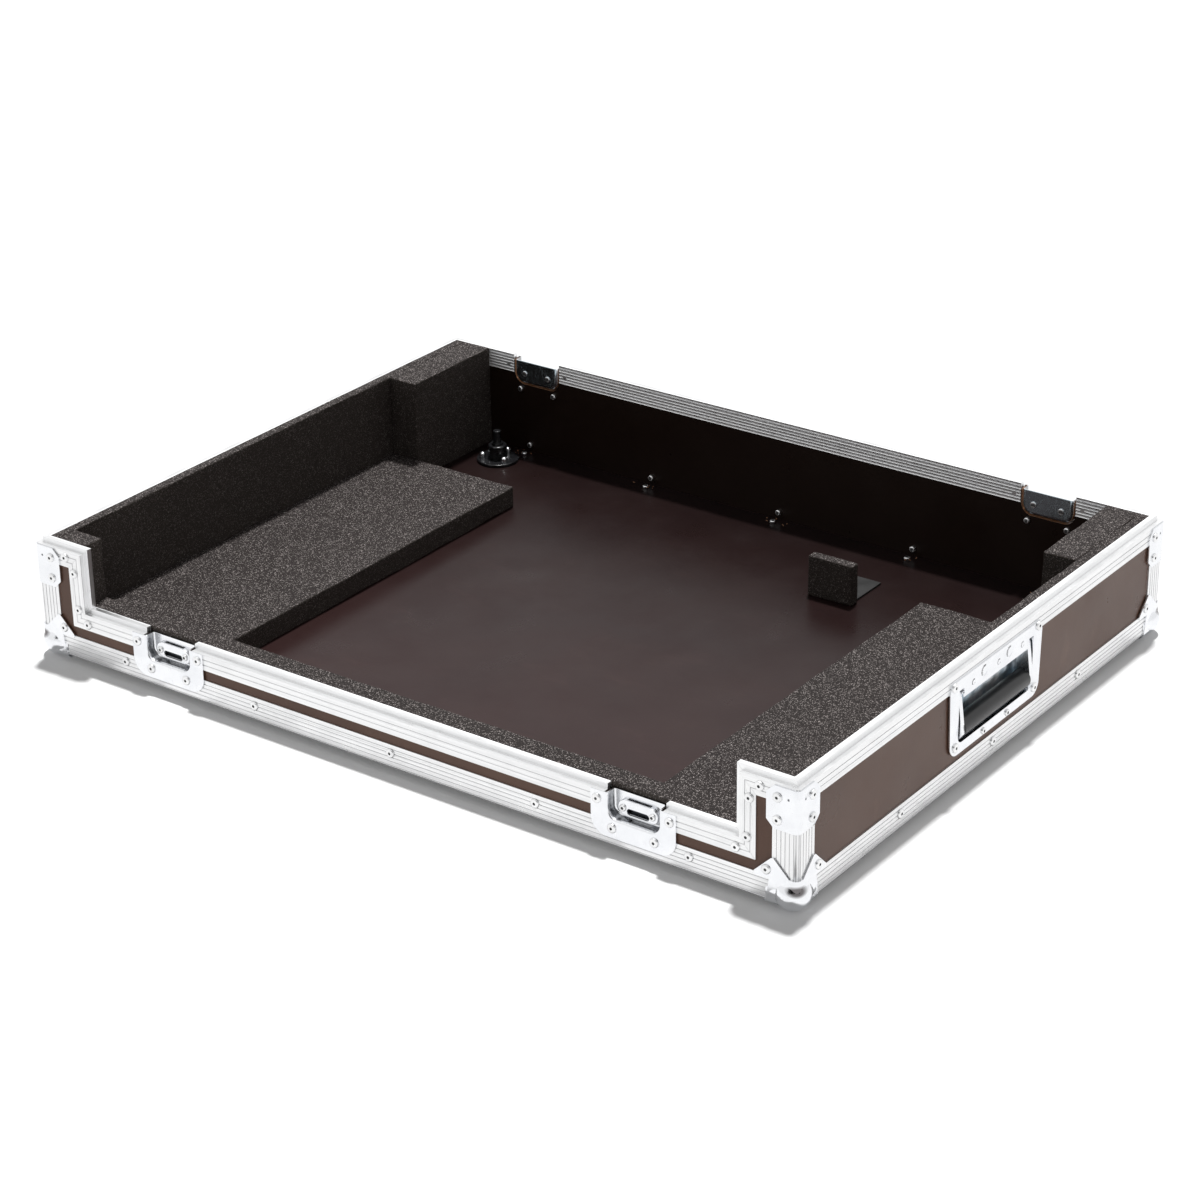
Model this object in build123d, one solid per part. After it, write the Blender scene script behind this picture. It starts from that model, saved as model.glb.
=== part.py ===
from build123d import *
import os
from math import cos, radians, sin

# Base tray of a flight case for a controller: a plywood box with a low front wall, edged
# with ribbed aluminium, lined with cut foam, and closed by a lift-off lid that is not here.
# Frame: origin on the ground below the middle of the case, X to the right along the front,
# Y from front to back, Z up. The case stands on the four balls of its corner fittings.
# "Out" is a distance from the nearer end of the case, "up" a height over its underside.

# Shell
case_width = 752.0
case_depth = 563.0
wall_height = 99.0
front_height = 45.5
horn_width = 50.5
ply = 6.8
skin = 1.2
edge_size = 22.0
edge_radius = 3.5
groove_width = 0.7
groove_depth = 0.35
groove_pitch = 3.65
groove_start = 3.6
groove_count = 5

# Rim profile
rim_drop = 14.4
rim_lip_drop = 13.1
rim_lip = 1.0
rim_web = 1.6
ledge_width = 4.2
tongue_rise = 4.7
rim_gap_extra = 6.5

# Ball corners and braces
ball_radius = 14.0
ball_inset = 9.0
ball_flat = 0.4
ball_leg = 36.5
ball_leg_top = 23.5
ball_leg_foot = 20.5
ball_peak = 38.0
ball_peak_out = 19.8
ball_shoulder_out = 22.0
ball_notch_out = 6.3
ball_notch_up = 24.5
ball_slot_out = 23.5
ball_foot_out = 27.0
ball_sleeve = 18.0
ball_sleeve_thick = 12.6
ball_sleeve_thin = 9.6
ball_under_leg = 32.0
corner_rivet_out = 26.0
corner_rivet_up = 27.5
brace_leg = 26.6
brace_height = 36.0
brace_chamfer = 6.5
brace_top_gap = 0.8
brace_rivet_out = 17.0
brace_rivet_drops = (9.7, 28.2)
brace_pinhole = (7.7, 9.4)
pinhole_radius = 1.0

# Latch recesses
latch_from_end_front = 143.4
latch_from_end_rear = 104.0
latch_flange_width = 77.0
latch_flange_drop = 37.0
latch_flange_round = 14.0
latch_width = 46.5
latch_drop = 21.0
latch_round = 8.0
latch_depth = 8.5
latch_lip = 1.9
latch_pan_round = 2.0
latch_cut_gap = 1.5
latch_rivet_high = (32.8, 7.0)
latch_rivet_low = (19.2, 28.5)
striker_width = 36.0
striker_height = 13.6
striker_drop = 12.1
striker_sheet = 1.5
striker_stand = 3.2
striker_foot = 7.6
striker_slot_width = 20.0
striker_slot_height = 5.2
striker_slot_fall = 2.4
striker_rivet_half = 13.3
striker_tail = 1.0

# Handles
handle_width = 143.0
handle_foot_width = 138.0
handle_height = 64.0
handle_top_gap = 6.6
handle_round = 11.0
handle_shoulder = 8.0
handle_step = 3.0
handle_rivet_high = (65.0, 3.6)
handle_rivet_low = (61.5, 56.5)
handle_rivet_foot = (18.5, 60.3)
window_width = 115.0
window_height = 38.0
window_sill = 8.6
window_round = 6.0
pan_depth = 14.5
pan_round = 4.0
pan_height = 46.0
pin_radius = 2.0
pin_back = 6.0
pin_drop = 6.4
arm_thick = 5.0
arm_width = 11.0
arm_side_gap = 1.4
arm_slot_gap = 0.8
grip_radius = 8.0
grip_core_radius = 3.0
grip_round = 1.0
grip_fall = 29.0
grip_back = 3.6
arm_tip_fall = 2.0
arm_tip_out = 1.5
spring_radius = 3.6
spring_wire = 1.2
spring_length = 16.0

# Foam
foam_thin = 10.0
foam_thick = 20.0
foam_block = 30.0
rear_block_length = 113.0
pad_width = 142.0

# Stop block and its bracket
stop_width = 44.0
stop_depth = 10.5
stop_height = 37.0
stop_pad_gap = 65.0
stop_lead = 6.5
bracket_sheet = 2.0
bracket_width = 40.0
bracket_rise = 20.0
bracket_reach = 42.0

# Round fitting on the floor
post_side_gap = 13.2
post_rear_gap = 14.7
post_flange_radius = 20.0
post_flange_height = 3.0
post_body_radius = 9.0
post_body_height = 13.5
post_collar_radius = 5.6
post_collar_height = 2.0
post_stub_radius = 3.8
post_stub_height = 12.0
post_nut_circle = 14.4
post_nut_radius = 3.0
post_nut_height = 5.5
post_nut_round = 2.1
post_nut_turns = (88.0, 214.0, 331.0)
post_round = 0.8
post_neck_round = 1.5

# Blind rivets
rivet_radius = 4.0
rivet_height = 1.5
rivet_dome = 1.2
rivet_shank = 2.0
rivet_tail_radius = 2.8
rivet_tail_height = 2.6
rivet_tail_round = 1.0
small_rivet_radius = 2.9
mandrel_radius = 1.2
edge_rivet_pitch = 141.0
side_rivet_pitch = 139.0
edge_rivet_up = 14.5
floor_rivet_out = 18.0
horn_rivets = ((33.0, 93.0), (41.8, 80.6), (43.8, 47.8), (53.2, 36.6))

# Clearances
seat_gap = 0.3
hole_gap = 0.05
pin_gap = 0.06

# Places worked out from the sizes
half_w = case_width / 2
half_d = case_depth / 2
base_z = ball_radius - ball_inset - ball_flat
inner = skin + ply
rim_inner = inner + rim_lip
floor_top = base_z + inner
ledge_z = base_z + wall_height
low_z = base_z + front_height
tongue_z = ledge_z + tongue_rise
panel_top = ledge_z - rim_web
horn_x = half_w - horn_width
liner_out = inner + foam_thin
block_out = liner_out + foam_block
strip_out = rim_inner + foam_thick
rear_block_y = half_d - inner - rear_block_length
front_latch_x = half_w - latch_from_end_front
rear_latch_x = half_w - latch_from_end_rear
handle_top = ledge_z - handle_top_gap
handle_foot = handle_top - handle_height
window_foot = handle_foot + window_sill
pan_top = window_foot + pan_height
pan_half = window_width / 2
pin_x = half_w - pin_back
pin_z = pan_top - pin_drop
grip_x = half_w - grip_back
grip_z = pin_z - grip_fall
arm_out = pan_half - arm_side_gap
arm_in = arm_out - arm_thick
beyond = 60.0
CENTRED_UP = (Align.CENTER, Align.CENTER, Align.MIN)


def box(x0, x1, y0, y1, z0, z1):
    """A block between two corners."""
    return Pos((x0 + x1) / 2, (y0 + y1) / 2, (z0 + z1) / 2) * Box(x1 - x0, y1 - y0, z1 - z0)


def prism(points, along, length):
    """A flat outline carried along a direction."""
    return extrude(make_face(Polyline(points, close=True)), amount=length, dir=along)


def keep_side(bar, point, normal):
    """A bar cut at a mitre plane: the part that the normal points to stays."""
    return split(bar, bisect_by=Plane(origin=point, z_dir=normal), keep=Keep.TOP)


def other_end(shape):
    """The same piece at the left end of the case."""
    return mirror(shape, about=Plane.YZ)


def other_side(shape):
    """The same piece at the back of the case."""
    return mirror(shape, about=Plane.XZ)


def envelope(inset):
    """The outside of the shell moved inwards, with rounded upright and bottom edges."""
    height = wall_height + beyond - inset
    body = Box(case_width - 2 * inset, case_depth - 2 * inset, height, align=CENTRED_UP)
    rounds = body.edges().filter_by(Axis.Z) + body.edges().group_by(Axis.Z)[0]
    return Pos(0, 0, base_z + inset) * fillet(rounds, edge_radius - inset)


shell_outside = envelope(0)
shell_inside = envelope(skin)


# Rivets and their holes

def rivet(layers, radius=rivet_radius, tail=0.0):
    """A blind rivet along Z: domed head above zero, shank through the layers, tail below."""
    head = Cylinder(radius, rivet_height, align=CENTRED_UP)
    head = fillet(head.edges().group_by(Axis.Z)[-1], rivet_dome)
    body = head + Pos(0, 0, -layers) * Cylinder(rivet_shank, layers, align=CENTRED_UP)
    if tail > 0:
        bulb = Cylinder(rivet_tail_radius, tail, align=CENTRED_UP)
        bulb = fillet(bulb.edges().group_by(Axis.Z)[0], min(rivet_tail_round, tail * 0.6))
        body += Pos(0, 0, -layers - tail) * bulb
    return body - Pos(0, 0, rivet_height / 2) * Cylinder(mandrel_radius, rivet_height, align=CENTRED_UP)


def drill(depth):
    """The hole for a rivet's shank, sunk below zero."""
    return Pos(0, 0, -depth) * Cylinder(rivet_shank + hole_gap, depth + skin / 2, align=CENTRED_UP)


def place(shape, points):
    """Copies of a shape at (point, normal) pairs, its Z turned to the normal."""
    return [Plane(origin=point, z_dir=normal).location * shape for point, normal in points]


def on_front(places, side=-1, stand=0.0):
    """(x, z) places on the front (-1) or rear (1) face, or standing out from it."""
    return [((x, side * (half_d + stand), z), (0, side, 0)) for x, z in places]


def on_end(places, side=1, stand=0.0):
    """(y, z) places on the right (1) or left (-1) end face, or standing out from it."""
    return [((side * (half_w + stand), y, z), (side, 0, 0)) for y, z in places]


def at_corners(out, z, stand):
    """One place on each of the two faces beside every corner."""
    found = []
    for side in (-1, 1):
        found += on_front([(sx * (half_w - out), z) for sx in (-1, 1)], side, stand)
        found += on_end([(sy * (half_d - out), z) for sy in (-1, 1)], side, stand)
    return found


def both_signs(places):
    """Places and their mirror images across zero."""
    return [(sign * first, second) for sign in (-1, 1) for first, second in places]


edge_xs = [step * edge_rivet_pitch for step in range(-2, 3)]
edge_ys = [step * side_rivet_pitch for step in range(-1, 2)]
edge_z = base_z + edge_rivet_up
front_edge_places = on_front([(x, edge_z) for x in edge_xs])
rear_edge_places = on_front([(x, edge_z) for x in edge_xs], side=1)
end_edge_places = on_end([(y, edge_z) for y in edge_ys])
end_edge_places += on_end([(y, edge_z) for y in edge_ys], side=-1)
rear_floor_places = [((x, half_d - floor_rivet_out, base_z), (0, 0, -1)) for x in edge_xs]
lined_floor_places = [((x, floor_rivet_out - half_d, base_z), (0, 0, -1)) for x in edge_xs]
lined_floor_places += [((side * (half_w - floor_rivet_out), y, base_z), (0, 0, -1))
                       for side in (-1, 1) for y in edge_ys]
horn_places = on_front(both_signs([(half_w - out, base_z + up) for out, up in horn_rivets]))
brace_places = []
for drop in brace_rivet_drops:
    brace_places += at_corners(brace_rivet_out, ledge_z - drop, skin)
ball_places = at_corners(corner_rivet_out, base_z + corner_rivet_up, skin)


def latch_ring(centre, ledge, offsets):
    """Two rivets either side of a latch, at a distance out and a drop below the ledge."""
    out, drop = offsets
    return [(centre + sign * out, ledge - drop) for sign in (-1, 1)]


front_latches = (-front_latch_x, front_latch_x)
rear_latches = (-rear_latch_x, rear_latch_x)
latch_lined_places = []
latch_open_places = []
for centre in front_latches:
    latch_lined_places += on_front(latch_ring(centre, low_z, latch_rivet_high), stand=skin)
    latch_lined_places += on_front(latch_ring(centre, low_z, latch_rivet_low), stand=skin)
for centre in rear_latches:
    latch_lined_places += on_front(latch_ring(centre, ledge_z, latch_rivet_high), side=1, stand=skin)
    latch_open_places += on_front(latch_ring(centre, ledge_z, latch_rivet_low), side=1, stand=skin)
striker_face = striker_stand - latch_depth
striker_places = []
for centre in front_latches:
    spots = [(centre + sign * striker_rivet_half, low_z - striker_drop) for sign in (-1, 1)]
    striker_places += on_front(spots, stand=striker_face)
for centre in rear_latches:
    spots = [(centre + sign * striker_rivet_half, ledge_z - striker_drop) for sign in (-1, 1)]
    striker_places += on_front(spots, side=1, stand=striker_face)
handle_spots = both_signs([(out, handle_top - drop) for out, drop in (handle_rivet_high, handle_rivet_low)])
handle_foot_spots = both_signs([(handle_rivet_foot[0], handle_top - handle_rivet_foot[1])])
handle_places = on_end(handle_spots, 1, skin) + on_end(handle_spots, -1, skin)
handle_foot_places = on_end(handle_foot_spots, 1, skin) + on_end(handle_foot_spots, -1, skin)

wall_places = front_edge_places + rear_edge_places + end_edge_places + horn_places + brace_places
wall_places += ball_places + latch_lined_places + latch_open_places + handle_places
wall_places += handle_foot_places + rear_floor_places + lined_floor_places
wall_holes = place(drill(inner + 2 * skin), wall_places)


def near(shape, tool):
    """Whether two bounding boxes meet."""
    first = shape.bounding_box()
    second = tool.bounding_box()
    return (first.min.X < second.max.X and second.min.X < first.max.X
            and first.min.Y < second.max.Y and second.min.Y < first.max.Y
            and first.min.Z < second.max.Z and second.min.Z < first.max.Z)


def drilled(shape):
    """A piece with the rivet holes that reach it."""
    tools = [tool for tool in wall_holes if near(shape, tool)]
    return shape - tools if tools else shape


# Plywood panels

def latch_notch(centre, side, ledge):
    """The round-cornered notch that a latch recess sits in, open at the rim."""
    half = latch_width / 2 + skin + latch_cut_gap
    drop = latch_drop + skin + latch_cut_gap
    sketch = Rectangle(2 * half, drop + beyond, align=(Align.CENTER, Align.MIN))
    sketch = fillet(sketch.vertices().group_by(Axis.Y)[0], latch_round + skin + latch_cut_gap)
    face = Plane(origin=(centre, side * half_d, ledge - drop), x_dir=(1, 0, 0), z_dir=(0, -1, 0)) * sketch
    return extrude(face, amount=rim_inner, both=True)


def pan_outline(grow):
    """The pan of a handle seen from the end: square at the top, rounded at the bottom."""
    sketch = Rectangle(2 * (pan_half + grow), pan_height + 2 * grow, align=(Align.CENTER, Align.MIN))
    sketch = fillet(sketch.vertices().group_by(Axis.Y)[0], window_round + grow)
    return Plane(origin=(half_w, 0, window_foot - grow), x_dir=(0, 1, 0), z_dir=(1, 0, 0)) * sketch


def pan_pocket():
    """The room that the right handle's pan takes in the wall and the foam behind it."""
    grow = skin + seat_gap
    start = Pos(-pan_depth - grow, 0, 0) * pan_outline(grow)
    return extrude(start, amount=pan_depth + 2 * grow, dir=(1, 0, 0))


def handle_pan(grow):
    """The room inside the right handle's pan, or with the sheet's thickness round it."""
    start = Pos(-pan_depth - grow, 0, 0) * pan_outline(grow)
    room = extrude(start, amount=pan_depth + grow, dir=(1, 0, 0))
    return fillet(room.faces().sort_by(Axis.X)[0].edges(), pan_round + grow)


def front_wall_panel():
    """Low wall between two tall ends."""
    out = half_w - skin
    foot = base_z + skin
    y = skin - half_d
    right = [(out, y, foot), (out, y, panel_top), (horn_x + rim_web, y, panel_top),
             (horn_x + rim_web, y, low_z - rim_web)]
    left = [(-x, y, z) for x, y, z in reversed(right)]
    wall = prism(right + left, (0, 1, 0), ply) & shell_inside
    return drilled(wall - [latch_notch(centre, -1, low_z) for centre in front_latches])


def rear_wall_panel():
    """Full-height wall with a notch for each rear latch."""
    wall = box(skin - half_w, half_w - skin, half_d - inner, half_d - skin, base_z + skin, panel_top)
    wall = wall & shell_inside
    return drilled(wall - [latch_notch(centre, 1, ledge_z) for centre in rear_latches])


def right_wall_panel():
    """End wall between the front and rear walls, holed for the handle's pan."""
    wall = box(half_w - inner, half_w - skin, inner - half_d, half_d - inner, base_z + skin, panel_top)
    return drilled((wall & shell_inside) - pan_pocket())


def floor_panel():
    """Floor between the four walls."""
    out_x = half_w - inner
    out_y = half_d - inner
    return drilled(box(-out_x, out_x, -out_y, out_y, base_z + skin, floor_top))


# Aluminium edging

def angle_section():
    """Ribbed L section: outer corner at the origin, one leg along each axis."""
    sketch = Rectangle(edge_size, edge_size, align=(Align.MIN, Align.MIN))
    hollow = Rectangle(edge_size, edge_size, align=(Align.MIN, Align.MIN))
    hollow = fillet(hollow.vertices().sort_by_distance((0, 0))[0], edge_radius - skin)
    sketch = fillet(sketch.vertices().sort_by_distance((0, 0))[0], edge_radius)
    sketch -= Pos(skin, skin) * hollow
    for index in range(groove_count):
        at = groove_start + index * groove_pitch
        if at + groove_width < edge_size:
            sketch -= Pos(at, 0) * Rectangle(groove_width, 2 * groove_depth)
            sketch -= Pos(0, at) * Rectangle(2 * groove_depth, groove_width)
    return sketch


def front_bar():
    """Bottom edge along the front, mitred at both ends."""
    start = Plane(origin=(-half_w, -half_d, base_z), x_dir=(0, 1, 0), z_dir=(1, 0, 0))
    bar = extrude(start * angle_section(), amount=case_width, dir=(1, 0, 0))
    bar = keep_side(bar, (half_w, -half_d, 0), (-1, -1, 0))
    bar = keep_side(bar, (-half_w, -half_d, 0), (1, -1, 0))
    return bar & shell_outside


def bottom_angle_front():
    """Bottom edge along the front, cut away behind the latch recesses."""
    return drilled(front_bar() - [latch_notch(centre, -1, low_z) for centre in front_latches])


def right_bar():
    """Bottom edge along the right end, mitred at both ends."""
    start = Plane(origin=(half_w, -half_d, base_z), x_dir=(-1, 0, 0), z_dir=(0, 1, 0))
    bar = extrude(start * angle_section(), amount=case_depth, dir=(0, 1, 0))
    bar = keep_side(bar, (half_w, -half_d, 0), (1, 1, 0))
    bar = keep_side(bar, (half_w, half_d, 0), (1, -1, 0))
    return drilled(bar & shell_outside)


def corner_post():
    """Upright angle at the front right corner, from the bottom edging to the rim profile."""
    foot = base_z + edge_size
    start = Plane(origin=(half_w, -half_d, foot), x_dir=(-1, 0, 0), z_dir=(0, 0, -1))
    return extrude(start * angle_section(), amount=ledge_z - rim_drop - foot, dir=(0, 0, 1))


def rim_section():
    """Rim profile: depth through the wall along X, height over the ledge along Y."""
    outline = Polyline((0, -rim_drop), (0, 0), (ledge_width, 0), (ledge_width, tongue_rise),
                       (rim_inner, tongue_rise), (rim_inner, -rim_lip_drop), (inner, -rim_lip_drop),
                       (inner, -rim_web), (skin, -rim_web), (skin, -rim_drop), close=True)
    sketch = make_face(outline)
    for drop in (rim_drop / 3, 2 * rim_drop / 3):
        sketch -= Pos(0, -drop) * Rectangle(2 * groove_depth, groove_width)
    for level in (tongue_rise / 3, -rim_lip_drop / 4, -rim_lip_drop * 0.65):
        sketch -= Pos(rim_inner, level) * Rectangle(2 * groove_depth, groove_width)
    return sketch


def rim_bar(origin, inward, along, length):
    """A straight length of rim profile."""
    return extrude(Plane(origin=origin, x_dir=inward, z_dir=along) * rim_section(), amount=length, dir=along)


def rim_right():
    """Rim of the right end wall."""
    bar = rim_bar((half_w, -half_d, ledge_z), (-1, 0, 0), (0, 1, 0), case_depth)
    bar = keep_side(bar, (half_w, -half_d, 0), (1, 1, 0))
    bar = keep_side(bar, (half_w, half_d, 0), (1, -1, 0))
    return drilled(bar & shell_outside)


def cut_at_latches(bar, side, centres):
    """The lengths of a rim that are left between its latch recesses, from left to right."""
    half = (latch_width + rim_gap_extra) / 2
    middle = side * half_d
    top = ledge_z + beyond
    gaps = [box(centre - half, centre + half, middle - beyond, middle + beyond, 0, top)
            for centre in centres]
    return (bar - gaps).solids().sort_by(Axis.X)


def rim_rear_lengths():
    """Rim of the rear wall in its three lengths."""
    bar = rim_bar((half_w, half_d, ledge_z), (0, -1, 0), (-1, 0, 0), case_width)
    bar = keep_side(bar, (half_w, half_d, 0), (-1, 1, 0))
    bar = keep_side(bar, (-half_w, half_d, 0), (1, 1, 0))
    return cut_at_latches(bar & shell_outside, 1, rear_latches)


def rim_front_lengths():
    """Rim of the low front wall in its three lengths, mitred to the uprights."""
    reach = horn_x + rim_drop
    bar = rim_bar((-reach, -half_d, low_z), (0, 1, 0), (1, 0, 0), 2 * reach)
    bar = keep_side(bar, (horn_x, 0, low_z), (-1, 0, -1))
    bar = keep_side(bar, (-horn_x, 0, low_z), (1, 0, -1))
    return cut_at_latches(bar, -1, front_latches)


def horn_top():
    """Rim over the right tall end of the front wall."""
    start = horn_x - tongue_rise
    bar = rim_bar((start, -half_d, ledge_z), (0, 1, 0), (1, 0, 0), half_w - start)
    bar = keep_side(bar, (half_w, -half_d, 0), (-1, -1, 0))
    bar = keep_side(bar, (horn_x, 0, ledge_z), (1, 0, 1))
    return drilled(bar & shell_outside)


def horn_upright():
    """Rim down the inner edge of the right tall end."""
    foot = low_z - rim_drop
    bar = rim_bar((horn_x, -half_d, foot), (0, 1, 0), (0, 0, 1), tongue_z - foot)
    bar = keep_side(bar, (horn_x, 0, ledge_z), (-1, 0, -1))
    bar = keep_side(bar, (horn_x, 0, low_z), (1, 0, 1))
    return drilled(bar)


# Ball corners and braces

def on_both_faces(outline, depth):
    """An (out, up) outline cut through a corner from the front and, mirrored, from the end."""
    front = [(half_w - out, -half_d - depth, base_z + up) for out, up in outline]
    end = [(half_w + depth, out - half_d, base_z + up) for out, up in outline]
    return prism(front, (0, 1, 0), depth + skin), prism(end, (-1, 0, 0), depth + skin)


def ball_corner():
    """Pressed corner at the front right foot: three legs, a ball and its sleeves."""
    outline = [(-skin, -skin), (-skin, ball_notch_up), (ball_notch_out, ball_notch_up),
               (ball_peak_out, ball_peak), (ball_shoulder_out, ball_peak), (ball_leg, ball_leg_top),
               (ball_leg, ball_leg_foot), (ball_slot_out, ball_leg_foot), (ball_foot_out, -skin)]
    front, end = on_both_faces(outline, skin)
    foot = base_z - skin
    under = prism([(half_w + skin, -half_d - skin, foot), (half_w - ball_under_leg, -half_d - skin, foot),
                   (half_w + skin, ball_under_leg - half_d, foot)], (0, 0, 1), skin)
    legs = (front + end + under) & envelope(-skin)
    centre = Pos(half_w - ball_inset, ball_inset - half_d, base_z + ball_inset)
    sleeve = Cone(ball_sleeve_thick, ball_sleeve_thin, ball_sleeve, align=CENTRED_UP)
    collar = Cone(ball_sleeve_thick, ball_sleeve_thin, ball_notch_up - ball_inset, align=CENTRED_UP)
    knob = centre * Sphere(ball_radius)
    knob += centre * Rot(0, -90, 0) * sleeve
    knob += centre * Rot(-90, 0, 0) * sleeve
    knob += centre * collar
    ground = box(0, half_w + beyond, -half_d - beyond, 0, -beyond, 0)
    body = (legs + knob) - shell_outside - ground
    return body - place(drill(2 * skin), ball_places)


def corner_brace():
    """Plate bent round the front right corner below the ledge, with cut-back ends."""
    top = wall_height - brace_top_gap
    foot = wall_height - brace_height
    back = brace_leg - brace_chamfer
    outline = [(-skin, foot), (back, foot), (brace_leg, foot + brace_chamfer),
               (brace_leg, top - brace_chamfer), (back, top), (-skin, top)]
    front, end = on_both_faces(outline, skin)
    body = ((front + end) & envelope(-skin)) - shell_outside
    out, drop = brace_pinhole
    pinholes = place(Cylinder(pinhole_radius, 3 * skin), at_corners(out, ledge_z - drop, 0))
    return body - place(drill(2 * skin), brace_places) - pinholes


# Latch recesses

def round_foot(width, height, radius):
    """A rectangle under the X axis with its two lower corners rounded."""
    sketch = Rectangle(width, height, align=(Align.CENTER, Align.MAX))
    return fillet(sketch.vertices().group_by(Axis.Y)[0], radius)


def front_face(centre, ledge, stand):
    """Sketch plane facing forwards at the front face: X to the right, Y up from the ledge."""
    return Plane(origin=(centre, -half_d - stand, ledge), x_dir=(1, 0, 0), z_dir=(0, -1, 0))


def latch_pan(centre, ledge, grow):
    """The room inside a latch recess, or with the sheet's thickness round it."""
    sketch = round_foot(latch_width + 2 * grow, latch_drop + grow, latch_round + grow)
    room = extrude(front_face(centre, ledge, skin) * sketch, amount=latch_depth + skin + grow, dir=(0, 1, 0))
    back = room.faces().sort_by(Axis.Y)[-1]
    return fillet(back.edges().sort_by(Axis.Z)[:-1], latch_pan_round + grow)


def mouth_edges(body, y, centre, ledge, grow):
    """The edges of a recess at a depth Y that run down its sides and along its foot."""
    half = latch_width / 2 + grow + hole_gap
    foot = ledge - latch_drop - grow - hole_gap
    level = body.edges().filter_by_position(Axis.Y, y - hole_gap, y + hole_gap)
    level = level.filter_by_position(Axis.X, centre - half, centre + half)
    return level.filter_by_position(Axis.Z, foot, ledge)


def latch_dish(centre, ledge):
    """Pressed recess in the front wall: flange outside, shallow pan open at the rim."""
    flange = round_foot(latch_flange_width, latch_flange_drop, latch_flange_round)
    body = extrude(front_face(centre, ledge, skin) * flange, amount=skin, dir=(0, 1, 0))
    body = body + latch_pan(centre, ledge, skin) - latch_pan(centre, ledge, 0)
    body = fillet(mouth_edges(body, -half_d, centre, ledge, skin), latch_lip - skin)
    return fillet(mouth_edges(body, -half_d - skin, centre, ledge, 0), latch_lip)


def latch_striker(centre, ledge):
    """Bridge that a latch hooks into: a rounded plate with a slot, on two feet."""
    plane = front_face(centre, ledge - striker_drop, striker_face)
    body = extrude(plane * SlotOverall(striker_width, striker_height), amount=striker_stand, dir=(0, 1, 0))
    half = striker_width / 2 - striker_foot
    back = latch_depth - half_d
    front = back - striker_stand
    middle = ledge - striker_drop
    body -= box(centre - half, centre + half, front + striker_sheet, back, middle - striker_height,
                ledge)
    slot = Pos(0, -striker_slot_fall) * SlotOverall(striker_slot_width, striker_slot_height)
    return body - extrude(plane * slot, amount=striker_stand, dir=(0, 1, 0))


latch_names = ("front_left", "front_right", "rear_left", "rear_right")
latch_places = latch_lined_places + latch_open_places + striker_places


def at_latches(shape_at):
    """A front-wall piece at both front latches, and turned to the back at both rear ones."""
    front = [shape_at(centre, low_z) for centre in front_latches]
    return front + [other_side(shape_at(centre, ledge_z)) for centre in rear_latches]


def pierced(shape, places, depth):
    """A piece with shank holes at its own rivets."""
    return shape - [tool for tool in place(drill(depth), places) if near(shape, tool)]


# Handle on the right end

def handle_dish():
    """Flange with a window, and a pan behind it that reaches up under the flange."""
    half_top = handle_width / 2
    half_foot = handle_foot_width / 2
    shoulder = handle_height - handle_shoulder
    half_step = half_top - handle_step
    sketch = Polygon((-half_foot, 0), (half_foot, 0), (half_top, shoulder), (half_step, handle_height),
                     (-half_step, handle_height), (-half_top, shoulder), align=None)
    sketch = fillet(sketch.vertices().group_by(Axis.Y)[0], handle_round)
    window = Rectangle(window_width, window_height, align=(Align.CENTER, Align.MIN))
    window = fillet(window.vertices().group_by(Axis.Y)[0], window_round)
    sketch -= Pos(0, window_sill) * window
    slot_width = arm_thick + arm_slot_gap + arm_side_gap
    slot = Rectangle(slot_width, pan_height, align=(Align.CENTER, Align.MIN))
    slot &= Pos(0, window_height - skin) * slot
    for sign in (-1, 1):
        sketch -= Pos(sign * (pan_half - slot_width / 2), window_sill) * slot
    plane = Plane(origin=(half_w, 0, handle_foot), x_dir=(0, 1, 0), z_dir=(1, 0, 0))
    body = extrude(plane * sketch, amount=skin, dir=(1, 0, 0))
    body += handle_pan(skin) - handle_pan(0)
    hole = Pos(pin_x, 0, pin_z) * Rot(90, 0, 0) * Cylinder(pin_radius + pin_gap, window_width + beyond)
    inside = box(half_w - pan_depth - skin, half_w, -pan_half - 2 * skin, pan_half + 2 * skin, 0, ledge_z)
    return pierced(body - (hole & inside), handle_places + handle_foot_places, 2 * skin)


def handle_pin():
    """Pin that the bail turns on, through both sides of the pan."""
    length = 2 * (pan_half + skin)
    return Pos(pin_x, 0, pin_z) * Rot(90, 0, 0) * Cylinder(pin_radius, length)


def handle_bail():
    """Two flat arms and the rod between them, hanging from the pin."""
    tip_x = grip_x + arm_tip_out
    tip_z = grip_z - arm_tip_fall
    flat = Plane(origin=(0, 0, 0), x_dir=(1, 0, 0), z_dir=(0, -1, 0))
    outline = make_hull([Pos(pin_x, pin_z) * Circle(arm_width / 2).edge(),
                         Pos(tip_x, tip_z) * Circle(arm_width / 2).edge()])
    outline -= Pos(pin_x, pin_z) * Circle(pin_radius + pin_gap)
    arm = extrude(flat * outline, amount=arm_thick, dir=(0, 1, 0))
    body = Pos(0, -arm_out, 0) * arm + Pos(0, arm_in, 0) * arm
    return body + Pos(grip_x, 0, grip_z) * Rot(90, 0, 0) * Cylinder(grip_core_radius, 2 * arm_in + arm_thick)


def handle_grip():
    """Plastic grip round the rod of the bail."""
    body = Cylinder(grip_radius, 2 * arm_in)
    body = fillet(body.edges().filter_by(GeomType.CIRCLE), grip_round)
    body -= Cylinder(grip_core_radius + hole_gap, 2 * arm_in)
    return Pos(grip_x, 0, grip_z) * Rot(90, 0, 0) * body


def handle_springs():
    """Return springs round the pin, one beside each arm."""
    coil = Cylinder(spring_radius, spring_length) - Cylinder(spring_radius - spring_wire, spring_length)
    middle = arm_in - seat_gap - spring_length / 2
    return [Pos(pin_x, sign * middle, pin_z) * Rot(90, 0, 0) * coil for sign in (-1, 1)]


# Foam

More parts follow.
